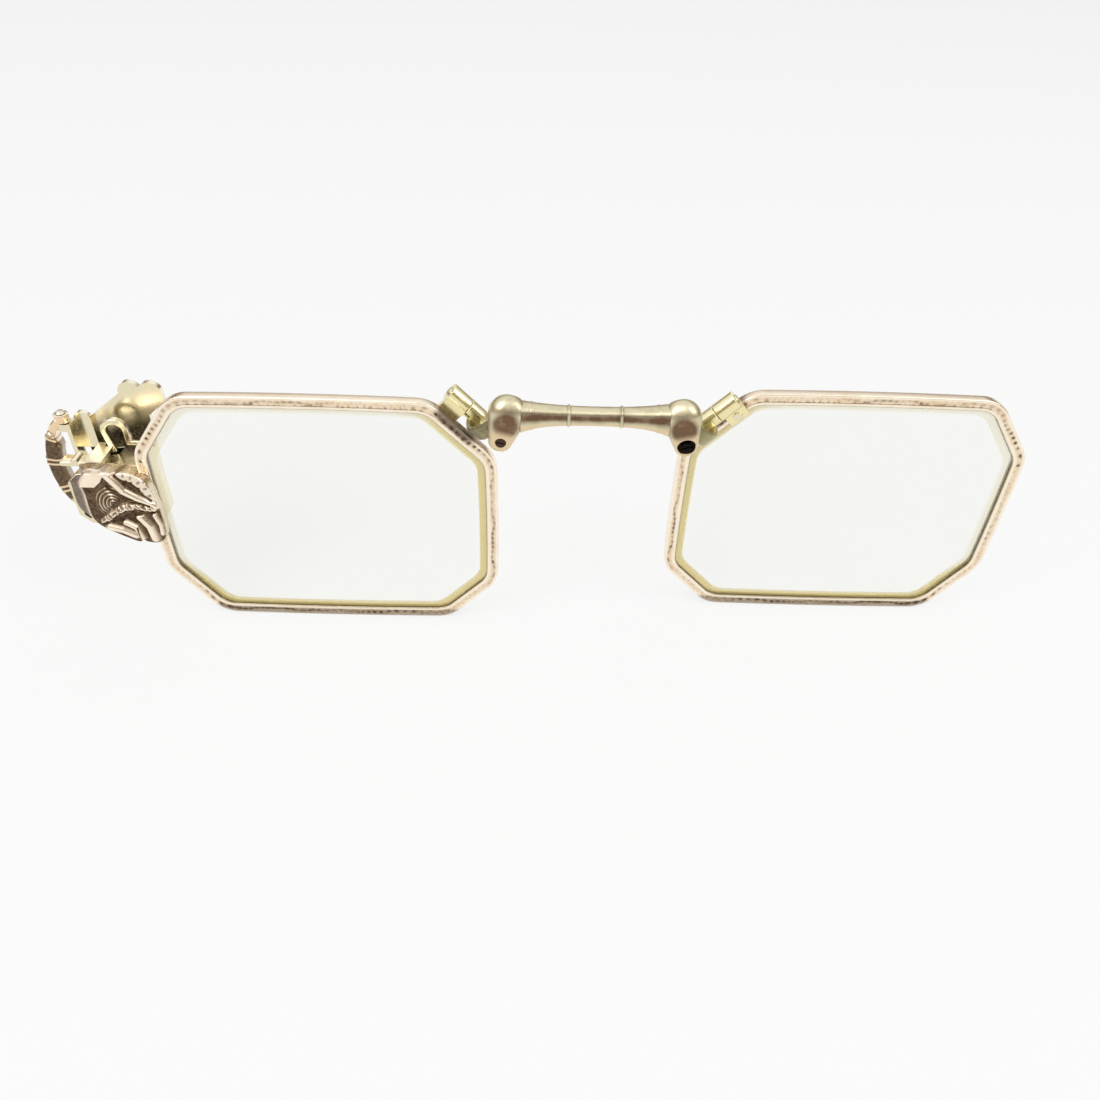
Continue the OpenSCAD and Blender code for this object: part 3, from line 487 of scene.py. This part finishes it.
def filed(node, metals, width=0.07, angle=32, soiled=0.0, inside=0.0, wiped=False):
    """A copy of a CAD node with its triangles joined, its sharp edges rounded and its inner faces darker.

    One number is how dark every face is, and inside what the inner faces have more: those that look to the middle
    of the piece. A piece in the handle box's shadow is cut along parallel lines, so that the painted shadow on its
    forward face can grow darker line by line.
    """
    mesh = frame["nodes"][node].data.copy()
    shape = bmesh.new()
    shape.from_mesh(mesh)
    bmesh.ops.remove_doubles(shape, verts=shape.verts, dist=JOINED)
    bmesh.ops.dissolve_limit(shape, angle_limit=FLAT, verts=shape.verts, edges=shape.edges)
    for rise in WIPED_CUTS if wiped else ():
        level = Vector((WIPED_X + rise * WIPED_UP[0], 0, WIPED_Z + rise * WIPED_UP[2])) / 1000
        bmesh.ops.bisect_plane(shape, geom=[*shape.verts, *shape.edges, *shape.faces], plane_co=level,
                               plane_no=WIPED_UP)
    shape.to_mesh(mesh)
    shape.free()
    mesh.materials.clear()
    mesh.materials.append(metals)
    mesh.shade_smooth()
    mesh.set_sharp_from_angle(angle=math.radians(angle))
    place, facing = np.empty((2, 3 * len(mesh.polygons)), np.float32)
    mesh.polygons.foreach_get("center", place)
    mesh.polygons.foreach_get("normal", facing)
    place, facing = place.reshape(-1, 3), facing.reshape(-1, 3)
    inward = ((place - (place.min(0) + place.max(0)) / 2) * facing).sum(1) < 0
    dirt = soiled + inside * inward
    # Painted shadow of the handle box on the forward face, darker line by line below the slanting edge.
    if wiped:
        above = (1000 * place - np.array([WIPED_X, 0, WIPED_Z])) @ WIPED_UP
        forward_face = facing[:, 1] < -0.9
        dirt = dirt + forward_face * (smooth(0.5 - above) * 0.6 + smooth((-0.6 - above) / 1.6) * 0.45)
    mesh.attributes.new("patina", "FLOAT", "FACE").data.foreach_set("value", dirt)
    piece = own(node + "_filed", mesh, BODY[node], [node])
    edge = piece.modifiers.new("filed edge", "BEVEL")
    edge.width, edge.segments, edge.limit_method = width / 1000, 2, "ANGLE"
    edge.angle_limit, edge.harden_normals = math.radians(angle), True
    return piece


for node in ("left_hinge_leaf", "right_hinge_leaf"):
    filed(node, BRASS, 0.10)
for node in ("left_hinge_pin", "right_hinge_pin"):
    filed(node, BRASS, 0.04, soiled=0.3)
filed("latch_pin", STEEL, 0.04, soiled=0.3)
filed("bail_pins", PALE_SILVER, 0.04, soiled=0.2)
filed("handle_box", PALE_SILVER, 0.12, inside=1.2)
filed("back_plate", PALE_SILVER, 0.12, wiped=True)
for node in ("bail_lugs", "latch_hook", "thumb_plate"):
    filed(node, PALE_SILVER, 0.12)
for node in ("left_leaf_screw", "right_leaf_screw", "plate_rivets"):
    filed(node, PALE_SILVER, 0.06)
for node in ("left_hinge_spring", "right_hinge_spring", "latch_spring"):
    wire = frame["nodes"][node]
    wire.data.materials.clear()
    wire.data.materials.append(STEEL)


# ---------------------------------------------------------------- Bridge knuckles
# Each inner knuckle is a length of brass tube, bored for the pin and wider inside for the spring.
# A bent strap, brazed under the tube, runs forward into the back of the bulb, and is painted darker towards the
# bulb as shade, the left one more.
BARREL, BARREL_Y, PIN_BORE, CUP = 1.05, 1.85, 0.38, 0.83
CUP_FROM, CUP_TO, KNUCKLE_FROM, KNUCKLE_TO = -2.37, -0.25, -2.95, -0.03
STRAP_BEND = np.array([(-0.72, -0.45), (-0.86, -1.1), (-0.80, -1.9), (-0.45, -2.7), (0.25, -3.3), (1.2, -3.6),
                       (2.6, -3.7)])
STRAP_STEPS, STRAP_ROUNDING, STRAP_SIDES, BARREL_SIDES = 90, 12, 40, 96
STRAP_THICK, STRAP_THICK_SQUARE, STRAP_WIDE, STRAP_WIDE_SQUARE = 0.30, 0.6, 0.95, 0.35
STRAP_MIDDLE, STRAP_TAPER, STRAP_SLIDE = -1.75, 0.85, 3        # where it lies along the pin, and how far it slides


def at_hinge(side, points):
    """Points of a hinge, with Z along its slanting pin and outwards, turned by 45 degrees to the bridge's frame."""
    x, y, z = points[..., 0], points[..., 1], points[..., 2]
    half = math.sqrt(0.5)
    return np.stack([side * (HINGE_X + (z - x) * half), BARREL_Y + y, HINGE_X + (x + z) * half], -1)


def squared(wave, power):
    """A sine or cosine raised to a power that keeps its sign, which squares the circle that it draws."""
    return np.sign(wave) * np.abs(wave) ** power


def knuckle(side, name):
    """A profile turned round the pin, and a rounded strip carried along a bent line in X and Y.

    The profile is radius and place along the pin. The strip's section is a squared ellipse, and its line is
    rounded by taking the mean of neighbours again and again.
    """
    wall = np.array([(PIN_BORE, KNUCKLE_FROM), (0.93, KNUCKLE_FROM), (1.0, KNUCKLE_FROM + 0.02),
                     (BARREL, KNUCKLE_FROM + 0.08), (BARREL, -1.6), (BARREL, -0.9), (BARREL, -0.10),
                     (1.0, -0.05), (0.94, KNUCKLE_TO), (PIN_BORE, KNUCKLE_TO), (PIN_BORE, CUP_TO),
                     (CUP, CUP_TO), (CUP, CUP_FROM), (PIN_BORE, CUP_FROM)])
    u = np.linspace(0, 2 * math.pi, BARREL_SIDES, endpoint=False)[:, None]
    tube = np.stack([wall[:, 0] * np.cos(u), wall[:, 0] * np.sin(u), wall[:, 1] + 0 * u], -1)
    skin(name + "_tube", at_hinge(side, tube), BRASS, BODY[name], [name], wrap_v=True, crease=40)
    run = np.linspace(0, len(STRAP_BEND) - 1, STRAP_STEPS)
    path = np.stack([np.interp(run, np.arange(len(STRAP_BEND)), STRAP_BEND[:, k]) for k in range(2)], -1)
    for _ in range(STRAP_ROUNDING):
        path[1:-1] = (path[:-2] + 2 * path[1:-1] + path[2:]) / 4
    ahead = np.gradient(path, axis=0)
    ahead /= np.linalg.norm(ahead, axis=1)[:, None]
    v = np.linspace(0, 2 * math.pi, STRAP_SIDES, endpoint=False)
    thick = squared(np.cos(v), STRAP_THICK_SQUARE) * STRAP_THICK
    wide = squared(np.sin(v), STRAP_WIDE_SQUARE) * STRAP_WIDE
    taper = np.linspace(1, STRAP_TAPER, STRAP_STEPS)[:, None]
    strap = np.stack([path[:, :1] - ahead[:, 1:] * thick, path[:, 1:] + ahead[:, :1] * thick,
                      STRAP_MIDDLE - STRAP_SLIDE * (1 - taper) + wide * taper], -1)
    # Painted shade: darker towards the bulb, and the left strap starts darker.
    soiled = np.linspace(0.15 if side > 0 else 0.5, 0.9, STRAP_STEPS)[:, None] * np.ones(STRAP_SIDES)
    skin(name + "_strap", at_hinge(side, strap.transpose(1, 0, 2)), BRASS, BODY[name],
         marks={"patina": soiled.T}, crease=50)


knuckle(-1, "left_bridge_knuckle")
knuckle(1, "right_bridge_knuckle")


# ---------------------------------------------------------------- Bulbs
# Each bulb is a silver casting, crowned above and narrower at its foot, with a screw sunk in its front.
# Its crown is satin and its front polished, and the bar is soldered into its side.
BULB_X, BULB_Y, BULB_Z = 9.25, -2.4, 14.0
BULB_HALF_WIDTH, BULB_HALF_DEPTH, BULB_LENGTH, BULB_LEAN = 2.05, 1.5, 6.6, math.radians(14)
BULB_ROWS, BULB_SIDES, BULB_SQUARE, FOOT_SHARE = 150, 200, 2 / 2.5, 0.62
FLAT_DEPTH, FLAT_SHARE, FLAT_ROUND = 1.36, 0.90, 0.10        # the front flat, before the bulb's middle
# Size and height of the brown painted reflection on the front flat.
SKIN_HALF_WIDTH, SKIN_HALF_HEIGHT, SKIN_UP = 1.45, 1.8, 0.4
SMALL_HOLE, LARGE_HOLE, HOLE_DEPTH, HOLE_LIP = 0.50, 0.92, 0.85, 0.05        # the first two are radii


def bulb(side, name, hole):
    """A revolved crown and foot, pressed flatter from front to back, with a sunk hole in front.

    The outline is a large arc, a tangent and a small arc. Each level is a squared ellipse, and what stands
    out in front of the flat is drawn back to it. A brown painted reflection lies on the flat, in an ellipse.
    """
    foot = FOOT_SHARE * BULB_HALF_WIDTH
    top, low = BULB_LENGTH / 2 - BULB_HALF_WIDTH, foot - BULB_LENGTH / 2
    turn = math.asin((BULB_HALF_WIDTH - foot) / (top - low))
    crown, heel = np.linspace(math.pi / 2 - 0.01, -turn, 60), np.linspace(-turn, 0.01 - math.pi / 2, 40)
    radius = np.concatenate([BULB_HALF_WIDTH * np.cos(crown), foot * np.cos(heel)])
    height = np.concatenate([top + BULB_HALF_WIDTH * np.sin(crown), low + foot * np.sin(heel)])
    run = np.concatenate([[0], np.cumsum(np.hypot(np.diff(radius), np.diff(height)))])
    at = np.linspace(0, run[-1], BULB_ROWS)
    radius, height = np.interp(at, run, radius), np.interp(at, run, height)
    u = np.linspace(0, 2 * math.pi, BULB_SIDES, endpoint=False)
    across = squared(np.cos(u), BULB_SQUARE)
    deep = squared(np.sin(u), BULB_SQUARE) * BULB_HALF_DEPTH / BULB_HALF_WIDTH
    x, y = across[:, None] * radius, deep[:, None] * radius
    z = np.broadcast_to(height, x.shape).copy()
    face = np.minimum(FLAT_DEPTH, FLAT_SHARE * radius * BULB_HALF_DEPTH / BULB_HALF_WIDTH)
    past = np.clip(-y - face, 0, None)
    y = y + past - FLAT_ROUND * (1 - np.exp(-past / FLAT_ROUND))
    # Painted reflection: a brown ellipse on the polished front flat.
    brown = smooth((1.2 - np.hypot(x / SKIN_HALF_WIDTH, (z - SKIN_UP) / SKIN_HALF_HEIGHT)) / 0.5) * (y < 0)
    away = np.hypot(x, z + BULB_LENGTH / 2 - 0.75 * BULB_HALF_WIDTH)
    sink = smooth(np.clip((hole - away) / 0.12 + 0.5, 0, 1) * (y < 0))
    lip = HOLE_LIP * np.exp(-((away - hole - 0.15) / 0.12) ** 2) * (y < 0)
    y = y + HOLE_DEPTH * sink - lip
    cs, sn = math.cos(BULB_LEAN), math.sin(BULB_LEAN)
    points = np.stack([side * (BULB_X - (x * cs + z * sn)), BULB_Y + y, BULB_Z + z * cs - x * sn], -1)
    seam = np.exp(-((np.hypot(y - 0.6, z + 0.4) - 1.45) / 0.06) ** 2) * (x > 1.4) * 0.5
    # Painted shade darkens the sunk hole, and a painted reflection of the paper makes the lower front pale; the
    # seam is a dark joint.
    skin(name, points, BRIDGE_SILVER, BODY[name], [name],
         marks={"patina": np.clip(sink * 1.4 + seam, 0, 1), "front_skin": brown,
                "gilding": smooth((-z) / 1.2) * smooth((0.6 - y) / 0.6)})


bulb(-1, "left_bulb", SMALL_HOLE)
bulb(1, "right_bulb", LARGE_HOLE)
# The screws sit in the sunk holes; their darkness is painted shade, deeper in the right one.
filed("left_bulb_screw", BRIDGE_SILVER, 0.04, soiled=0.7)
filed("right_bulb_screw", STEEL, 0.04, soiled=1.3)


# ---------------------------------------------------------------- Bridge bar
# The bar is a turned silver rod, thinner in its middle, with two raised collars and a bead at each end.
# It was flattened a little after turning, and its front was filed hollow above a lip.
BAR_Z, BAR_HALF, BAR_STEPS, BAR_SIDES, BAR_SQUARE = 15.2, 7.61, 420, 72, 2 / 2.6
BAR_THIN, BAR_THICKER, BAR_DROOP = 0.95, 0.45, 0.42
COLLAR_X, COLLAR_HALF, COLLAR_RISE = 2.7, 0.14, 0.12
BEAD_X, BEAD_HALF, BEAD_RISE = 6.5, 0.12, 0.05


def bar(name):
    """A turned profile, squared a little, with a hollow along its front and a lip below it.

    Hollow and lip are bells over the direction that a point faces, in degrees upwards from the front.
    """
    x = np.linspace(-BAR_HALF, BAR_HALF, BAR_STEPS)
    t = np.abs(x) / BAR_HALF
    radius = BAR_THIN + BAR_THICKER * t ** 2.5
    for middle, half, rise in ((COLLAR_X, COLLAR_HALF, COLLAR_RISE), (BEAD_X, BEAD_HALF, BEAD_RISE)):
        radius = radius + rise * np.clip(1 - (np.abs(np.abs(x) - middle) / half) ** 4, 0, 1)
    u = np.linspace(0, 2 * math.pi, BAR_SIDES, endpoint=False)
    y = squared(np.cos(u), BAR_SQUARE)
    z = squared(np.sin(u), BAR_SQUARE)
    squash = 1 - 0.5 * (1 - 1 / np.hypot(y, z))
    facing = np.degrees(np.arctan2(z, -y))
    hollow, lip = np.exp(-((facing - 12) / 24) ** 2), np.exp(-((facing + 48) / 16) ** 2)
    squash = squash * (1 - 0.10 * hollow + 0.05 * lip)
    flare = 1 + BAR_DROOP * t ** 4 * np.clip(-z, 0, 1)[:, None]
    dark = np.exp(-((np.abs(np.abs(x) - COLLAR_X) - 0.20) / 0.06) ** 2)
    plain = 1 - np.clip(1 - (np.abs(np.abs(x) - COLLAR_X) / 0.18) ** 6, 0, 1)
    points = np.stack([np.broadcast_to(x, (BAR_SIDES, BAR_STEPS)), BULB_Y + (y * squash)[:, None] * radius,
                       BAR_Z + (z * squash)[:, None] * radius * flare], -1)
    # Painted reflection: brown in the front hollow, and pale on the lip below.
    skin(name, points, BRIDGE_SILVER, BODY[name], [name],
         marks={"patina": np.clip(0.3 * dark + 0.1 * hollow[:, None], 0, 1),
                "front_skin": np.clip(hollow * 1.3 - 0.1, 0, 1)[:, None] * plain,
                "gilding": smooth((-facing - 20) / 15)[:, None] * np.ones(BAR_STEPS)})


bar("bridge_bar")


# ---------------------------------------------------------------- Front plate of the handle
# The front plate is a cast silver leaf scroll, chased by hand and darkened in its hollows.
# A smooth rib crosses it, with a pitted leaf above, a shell and a rough leaf below, and folded lobes at its foot.
# Its lines are drawn from the front, X outwards from the rim's edge and Z upwards.
RIM_EDGE, HANDLE_UP = 49.85, 0.8
PLATE_Y, PLATE_BACK, PLATE_BACK_BY_RIM, PLATE_ROLL = -1.4, 0.6, -0.62, 0.16
PLATE_MIDDLE, PLATE_SIDES, PLATE_RINGS = np.array([2.4, 0.3]), 440, 96
PLATE_EDGE = [(6.35, 3.5), (6.3, 2.0), (6.4, 0.4), (6.35, -1.0), (5.9, -2.0), (5.0, -2.8), (3.9, -3.5),
              (2.7, -4.15), (1.8, -4.5), (1.35, -4.2), (0.8, -4.5), (-0.3, -4.55), (-1.2, -4.0), (-1.6, -3.0),
              (-1.7, -1.6), (-1.7, 0.0), (-1.6, 1.5), (-1.4, 3.2), (-0.7, 4.5), (0.3, 5.1), (1.5, 5.3),
              (2.3, 5.1), (3.0, 5.4), (4.2, 5.4), (5.2, 5.4), (5.9, 4.4)]
PITTED_LEAF = [(1.3, 5.1), (0.2, 4.7), (-0.8, 3.6), (-1.2, 2.2)]
ROUGH_LEAF = [(4.9, -1.3), (3.6, -0.2), (2.2, 0.6), (0.9, 0.85), (-1.0, 0.55)]
RIB = [(3.1, 5.2), (2.5, 4.2), (1.7, 2.9), (0.4, 2.05), (-1.0, 1.4), (-1.5, 0.95)]
SHELL_X, SHELL_Z, SHELL_REACH, SHELL_PITCH = 3.3, 1.0, 2.2, 0.38
FOLDS = (([(4.6, -2.3), (3.2, -2.7), (2.0, -3.4)], 0.70, 0.36),          # line, half width and height
         ([(2.6, -1.5), (1.6, -2.2), (1.2, -3.6)], 0.55, 0.46),
         ([(0.8, -0.6), (0.0, -2.0), (-0.2, -3.7)], 0.80, 0.52),
         ([(-0.9, -0.4), (-1.3, -1.8), (-1.2, -3.0)], 0.45, 0.40))
GROOVES = (([(2.3, 5.1), (0.8, 3.6), (-1.1, 1.75)], 0.14),               # line and half width
           ([(5.3, -1.8), (3.0, -1.1), (1.2, -0.3), (-0.9, 0.05)], 0.16),
           ([(1.45, -2.2), (1.4, -4.4)], 0.06),
           ([(3.5, 3.3), (1.9, 1.5), (-0.6, 0.95)], 0.16))
CORNER_BLOCK = np.array([(3.0, 5.4), (5.2, 5.4), (6.3, 3.5), (4.6, 3.3), (3.6, 4.2)])


def off_line(x, z, line):
    """Distance to a bent line, and how far along it the nearest point lies, from 0 to 1."""
    best, part, count = np.full(x.shape, 99.0), np.zeros(x.shape), len(line) - 1
    for k, ((ax, az), (bx, bz)) in enumerate(zip(line, line[1:])):
        t = np.clip(((x - ax) * (bx - ax) + (z - az) * (bz - az)) / ((bx - ax) ** 2 + (bz - az) ** 2), 0, 1)
        gap = np.hypot(x - ax - t * (bx - ax), z - az - t * (bz - az))
        part = np.where(gap < best, (k + t) / count, part)
        best = np.minimum(best, gap)
    return best, part


def relief(x, z):
    """Height of the chasing over the plate, and how dark the hollows are.

    Each raised form is an S-shaped fall with the distance to its line, and the highest form wins. Pits, rough
    tufts and shell lines are products of waves, and a groove is a bell across its line.
    """
    height, dark = np.zeros(x.shape), np.full(x.shape, 1.0)

    def raise_to(level, shape, shine):
        nonlocal height, dark
        height = np.maximum(height, level * shape)
        dark = dark * (1 - shape) + shine * shape
    gap, part = off_line(x, z, PITTED_LEAF)
    pits = np.clip(np.sin(9 * part * math.pi) * np.cos(7 * (gap - 0.1)), 0, 1) ** 3 * smooth((0.8 - gap) / 0.2)
    raise_to(0.42, smooth((0.95 - gap) / 0.45), 0.12)
    height, dark = height - 0.12 * pits, dark + 0.7 * pits
    hollow = (smooth((x - 4.9) / 0.4) * smooth((6.15 - x) / 0.25)
              * smooth((3.4 - z) / 0.4) * smooth((z + 2.0) / 0.5))
    height, dark = height - 0.25 * hollow, dark + 0.45 * hollow
    gap, part = off_line(x, z, ROUGH_LEAF)
    tufts = (np.sin(6.3 * x + 2.1 * z + 1.6 * np.sin(4.1 * z))
             * np.sin(6.1 * z - 3.7 * x + 1.3 * np.sin(5.2 * x)))
    leaf = smooth((0.62 - gap) / 0.35)
    raise_to(0.40, leaf * (1 + 0.22 * tufts), 0.1)
    dark = dark + 0.5 * leaf * (tufts < -0.15)
    away = np.hypot(x - SHELL_X, (z - SHELL_Z) * 0.9)
    turned = np.arctan2(z - SHELL_Z, x - SHELL_X)
    wave = (0.5 + 0.5 * np.cos(2 * math.pi * away / SHELL_PITCH + 0.5 * np.sin(3 * turned))) ** 2
    shell = smooth((SHELL_REACH - away) / 0.5) * smooth(0.4 + 1.2 * np.cos(turned - 0.7))
    height = np.maximum(height, shell * (0.08 + 0.16 * wave))
    dark = dark - 0.85 * shell * wave
    for line, wide, level in FOLDS:
        gap, part = off_line(x, z, line)
        raise_to(level, smooth((wide - gap) / (0.8 * wide)), 0.0)
    gap, part = off_line(x, z, RIB)
    raise_to(0.62, np.sqrt(np.clip(1 - (gap / (0.66 - 0.22 * part)) ** 2, 0, 1)), 0.0)
    for line, wide in GROOVES:
        gap, part = off_line(x, z, line)
        groove = np.exp(-(gap / wide) ** 2)
        height, dark = height * (1 - 0.75 * groove) - 0.12 * groove, dark + groove
    inside = np.full(x.shape, 9.0)
    for (ax, az), (bx, bz) in zip(CORNER_BLOCK, np.roll(CORNER_BLOCK, -1, 0)):
        span = math.hypot(bx - ax, bz - az)
        inside = np.minimum(inside, -((bx - ax) * (z - az) - (bz - az) * (x - ax)) / span)
    block = smooth(inside / 0.12)
    tilt = 0.62 + 0.16 * np.clip(x - 4.7, 0, 2) - 0.14 * np.clip(4.4 - z, 0, 2)
    height, dark = np.where(block > 0, np.maximum(height, tilt * block), height), dark * (1 - block)
    return height, np.clip(dark, 0, 1)


def round_line(points, count):
    """A closed smooth line through points, spaced evenly.

    Between two points it is a cubic whose ends run parallel to the lines that join their neighbours.
    """
    p = np.array(points, float)
    before, after, far = np.roll(p, 1, 0), np.roll(p, -1, 0), np.roll(p, -2, 0)
    t = np.linspace(0, 1, 12, endpoint=False)[:, None, None]
    line = 0.5 * (2 * p + (after - before) * t + (2 * before - 5 * p + 4 * after - far) * t ** 2
                  + (3 * p - before - 3 * after + far) * t ** 3)
    return even(line.transpose(1, 0, 2).reshape(-1, 2), count)[0]


def on_handle(x, y, z):
    """Points of the handle, measured outwards from the rim's edge, in the bridge's frame."""
    return np.stack(np.broadcast_arrays(-RIM_EDGE - x, y, z + HANDLE_UP), -1)


def front_plate(name):
    """Rings from the middle of the relief to the edge, down a flank that spreads to the left, and over the rear.

    A ring is the edge drawn towards the middle by its share, closer together near the edge.
    """
    edge, middle = round_line(PLATE_EDGE, PLATE_SIDES), PLATE_MIDDLE
    share = 1 - (1 - np.linspace(0.004, 1, PLATE_RINGS)) ** 1.15
    ring = middle + (edge - middle)[:, None] * share[None, :, None]
    height, dark = relief(ring[..., 0], ring[..., 1])
    fall = np.linalg.norm(edge - middle, axis=1)[:, None] * (1 - share)
    roll = PLATE_ROLL * (1 - np.sqrt(np.clip(1 - (1 - np.clip(fall / PLATE_ROLL, 0, 1)) ** 2, 0, 1)))
    front = PLATE_Y - height + roll
    left = smooth((edge[:, 0] - 4.6) / 1.6)
    foot = edge + np.column_stack([2.3 * left, -0.35 * smooth((edge[:, 1] - 4.2) / 1.0)])
    limit = 3.3 - 0.9 * np.clip(foot[:, 0] - 7.7, 0, None)
    foot[:, 1] = np.where(foot[:, 0] > 7.0, np.clip(foot[:, 1], -limit, limit), foot[:, 1])
    foot_y = np.where(edge[:, 0] > 0.1, PLATE_BACK, PLATE_BACK_BY_RIM)
    step = np.linspace(0, 1, 9)[None, 1:]
    wall = edge[:, None] + (foot - edge)[:, None] * step[..., None]
    wall_y = front[:, -1:] + (foot_y[:, None] - front[:, -1:]) * step
    rear = middle + (foot - middle)[:, None] * share[None, ::-6, None]
    rear_y = np.where(rear[..., 0] > 0.1, PLATE_BACK, PLATE_BACK_BY_RIM)
    flat = np.concatenate([ring, wall, rear], axis=1)
    y = np.concatenate([front, wall_y, rear_y], axis=1)
    shine = np.exp(-(fall / 0.10) ** 2)
    flank = 0.1 + 0.85 * left[:, None] * smooth(3 * step)
    tone = np.concatenate([dark * (1 - shine), flank, np.full(rear_y.shape, 0.2)], axis=1)
    skin(name, on_handle(flat[..., 0], y, flat[..., 1]), SILVER, BODY[name], [name],
         marks={"patina": tone, "front_skin": np.clip(0.1 + 0.9 * tone, 0, 1)}, crease=60)


front_plate("front_plate")


# ---------------------------------------------------------------- Bail
# The bail is a cast silver arch with raised rings, black between them, and pinned above and below to the lugs.
# A ribbon or chain would pass behind it.
BAIL_X, BAIL_Y, BAIL_UP = 10.0, 5.6, 1.2
BAIL_HALF, BAIL_OUT, BAIL_THICK, BAIL_WIDE = 6.6, 2.5, 1.5, 0.95
BAIL_RADIUS = (BAIL_HALF ** 2 + BAIL_OUT ** 2) / (2 * BAIL_OUT)
BAIL_STEPS, BAIL_SIDES, BAIL_SQUARE = 300, 56, 2 / 3.0
RINGS, RING_HALF, RING_RISE = (-33, -17.5, -14, 4.5, 8, 24), 1.1, 0.13        # the first two in degrees
EYE_PROFILE = np.array([(0.40, 0), (0.40, 1.0), (0.46, 1.0), (0.72, 1.0), (0.78, 0.97), (0.8, 0.9), (0.8, 0.1),
                        (0.78, 0.03), (0.72, 0), (0.46, 0)])
EYE_SIDES, EYE_LOW = 48, 0.5


def bail(name):
    """A squared band carried along an arc, thicker at its rings and narrower at its ends."""
    reach = math.asin((BAIL_HALF - 0.35) / BAIL_RADIUS)
    a = np.linspace(-reach, reach, BAIL_STEPS)
    turned = np.degrees(a)[:, None]
    raised = sum(np.clip(1 - (np.abs(turned - m) / RING_HALF) ** 4, 0, 1) for m in RINGS)
    u = np.linspace(0, 2 * math.pi, BAIL_SIDES, endpoint=False)
    level = np.abs(BAIL_RADIUS * np.sin(a))[:, None]
    slim = 1 - 0.27 * smooth((level - 4.4) / 0.5)
    inner = 1.15 - 0.82 * smooth((level - 3.2) / 1.4)
    out = squared(np.cos(u), BAIL_SQUARE)
    out = np.where(out > 0, out * BAIL_THICK / 2 * (1 - 0.25 * smooth((level - 5.2) / 1.2)), out * inner)
    wide = squared(np.sin(u), BAIL_SQUARE) * (BAIL_WIDE + 0.05 * raised)
    out = out + RING_RISE * raised * (out > 0) * np.clip(out / 0.75, 0, 1)
    radius = BAIL_RADIUS + out
    x = BAIL_X + BAIL_OUT - BAIL_RADIUS + radius * np.cos(a)[:, None]
    beside = sum(np.exp(-((np.abs(turned - m) - 1.5) / 0.5) ** 2) for m in RINGS)
    dark = np.clip(beside * 0.8 + 0.98 * (1 - raised) * smooth((4.4 - level) / 0.5), 0, 1)
    dark = dark * (1 - 0.45 * np.abs(np.cos(u)) ** 6)
    points = on_handle(x, BAIL_Y + wide * slim, BAIL_UP + radius * np.sin(a)[:, None])
    skin(name, points.transpose(1, 0, 2), SILVER, BODY[name], [name], marks={"patina": dark.T})


def bail_eye(name, level):
    """A turned ring round a pivot pin: its profile is radius and height."""
    radius, rise = EYE_PROFILE[:, 0], EYE_PROFILE[:, 1]
    u = np.linspace(0, 2 * math.pi, EYE_SIDES, endpoint=False)[:, None]
    points = on_handle(BAIL_X + radius * np.cos(u), BAIL_Y + radius * np.sin(u), BAIL_UP + level + rise + 0 * u)
    skin(name, points, SILVER, "bail", wrap_v=True, crease=40)


bail("bail")
bail_eye("bail_eye_upper", BAIL_HALF - EYE_LOW)
bail_eye("bail_eye_lower", -BAIL_HALF - EYE_LOW)
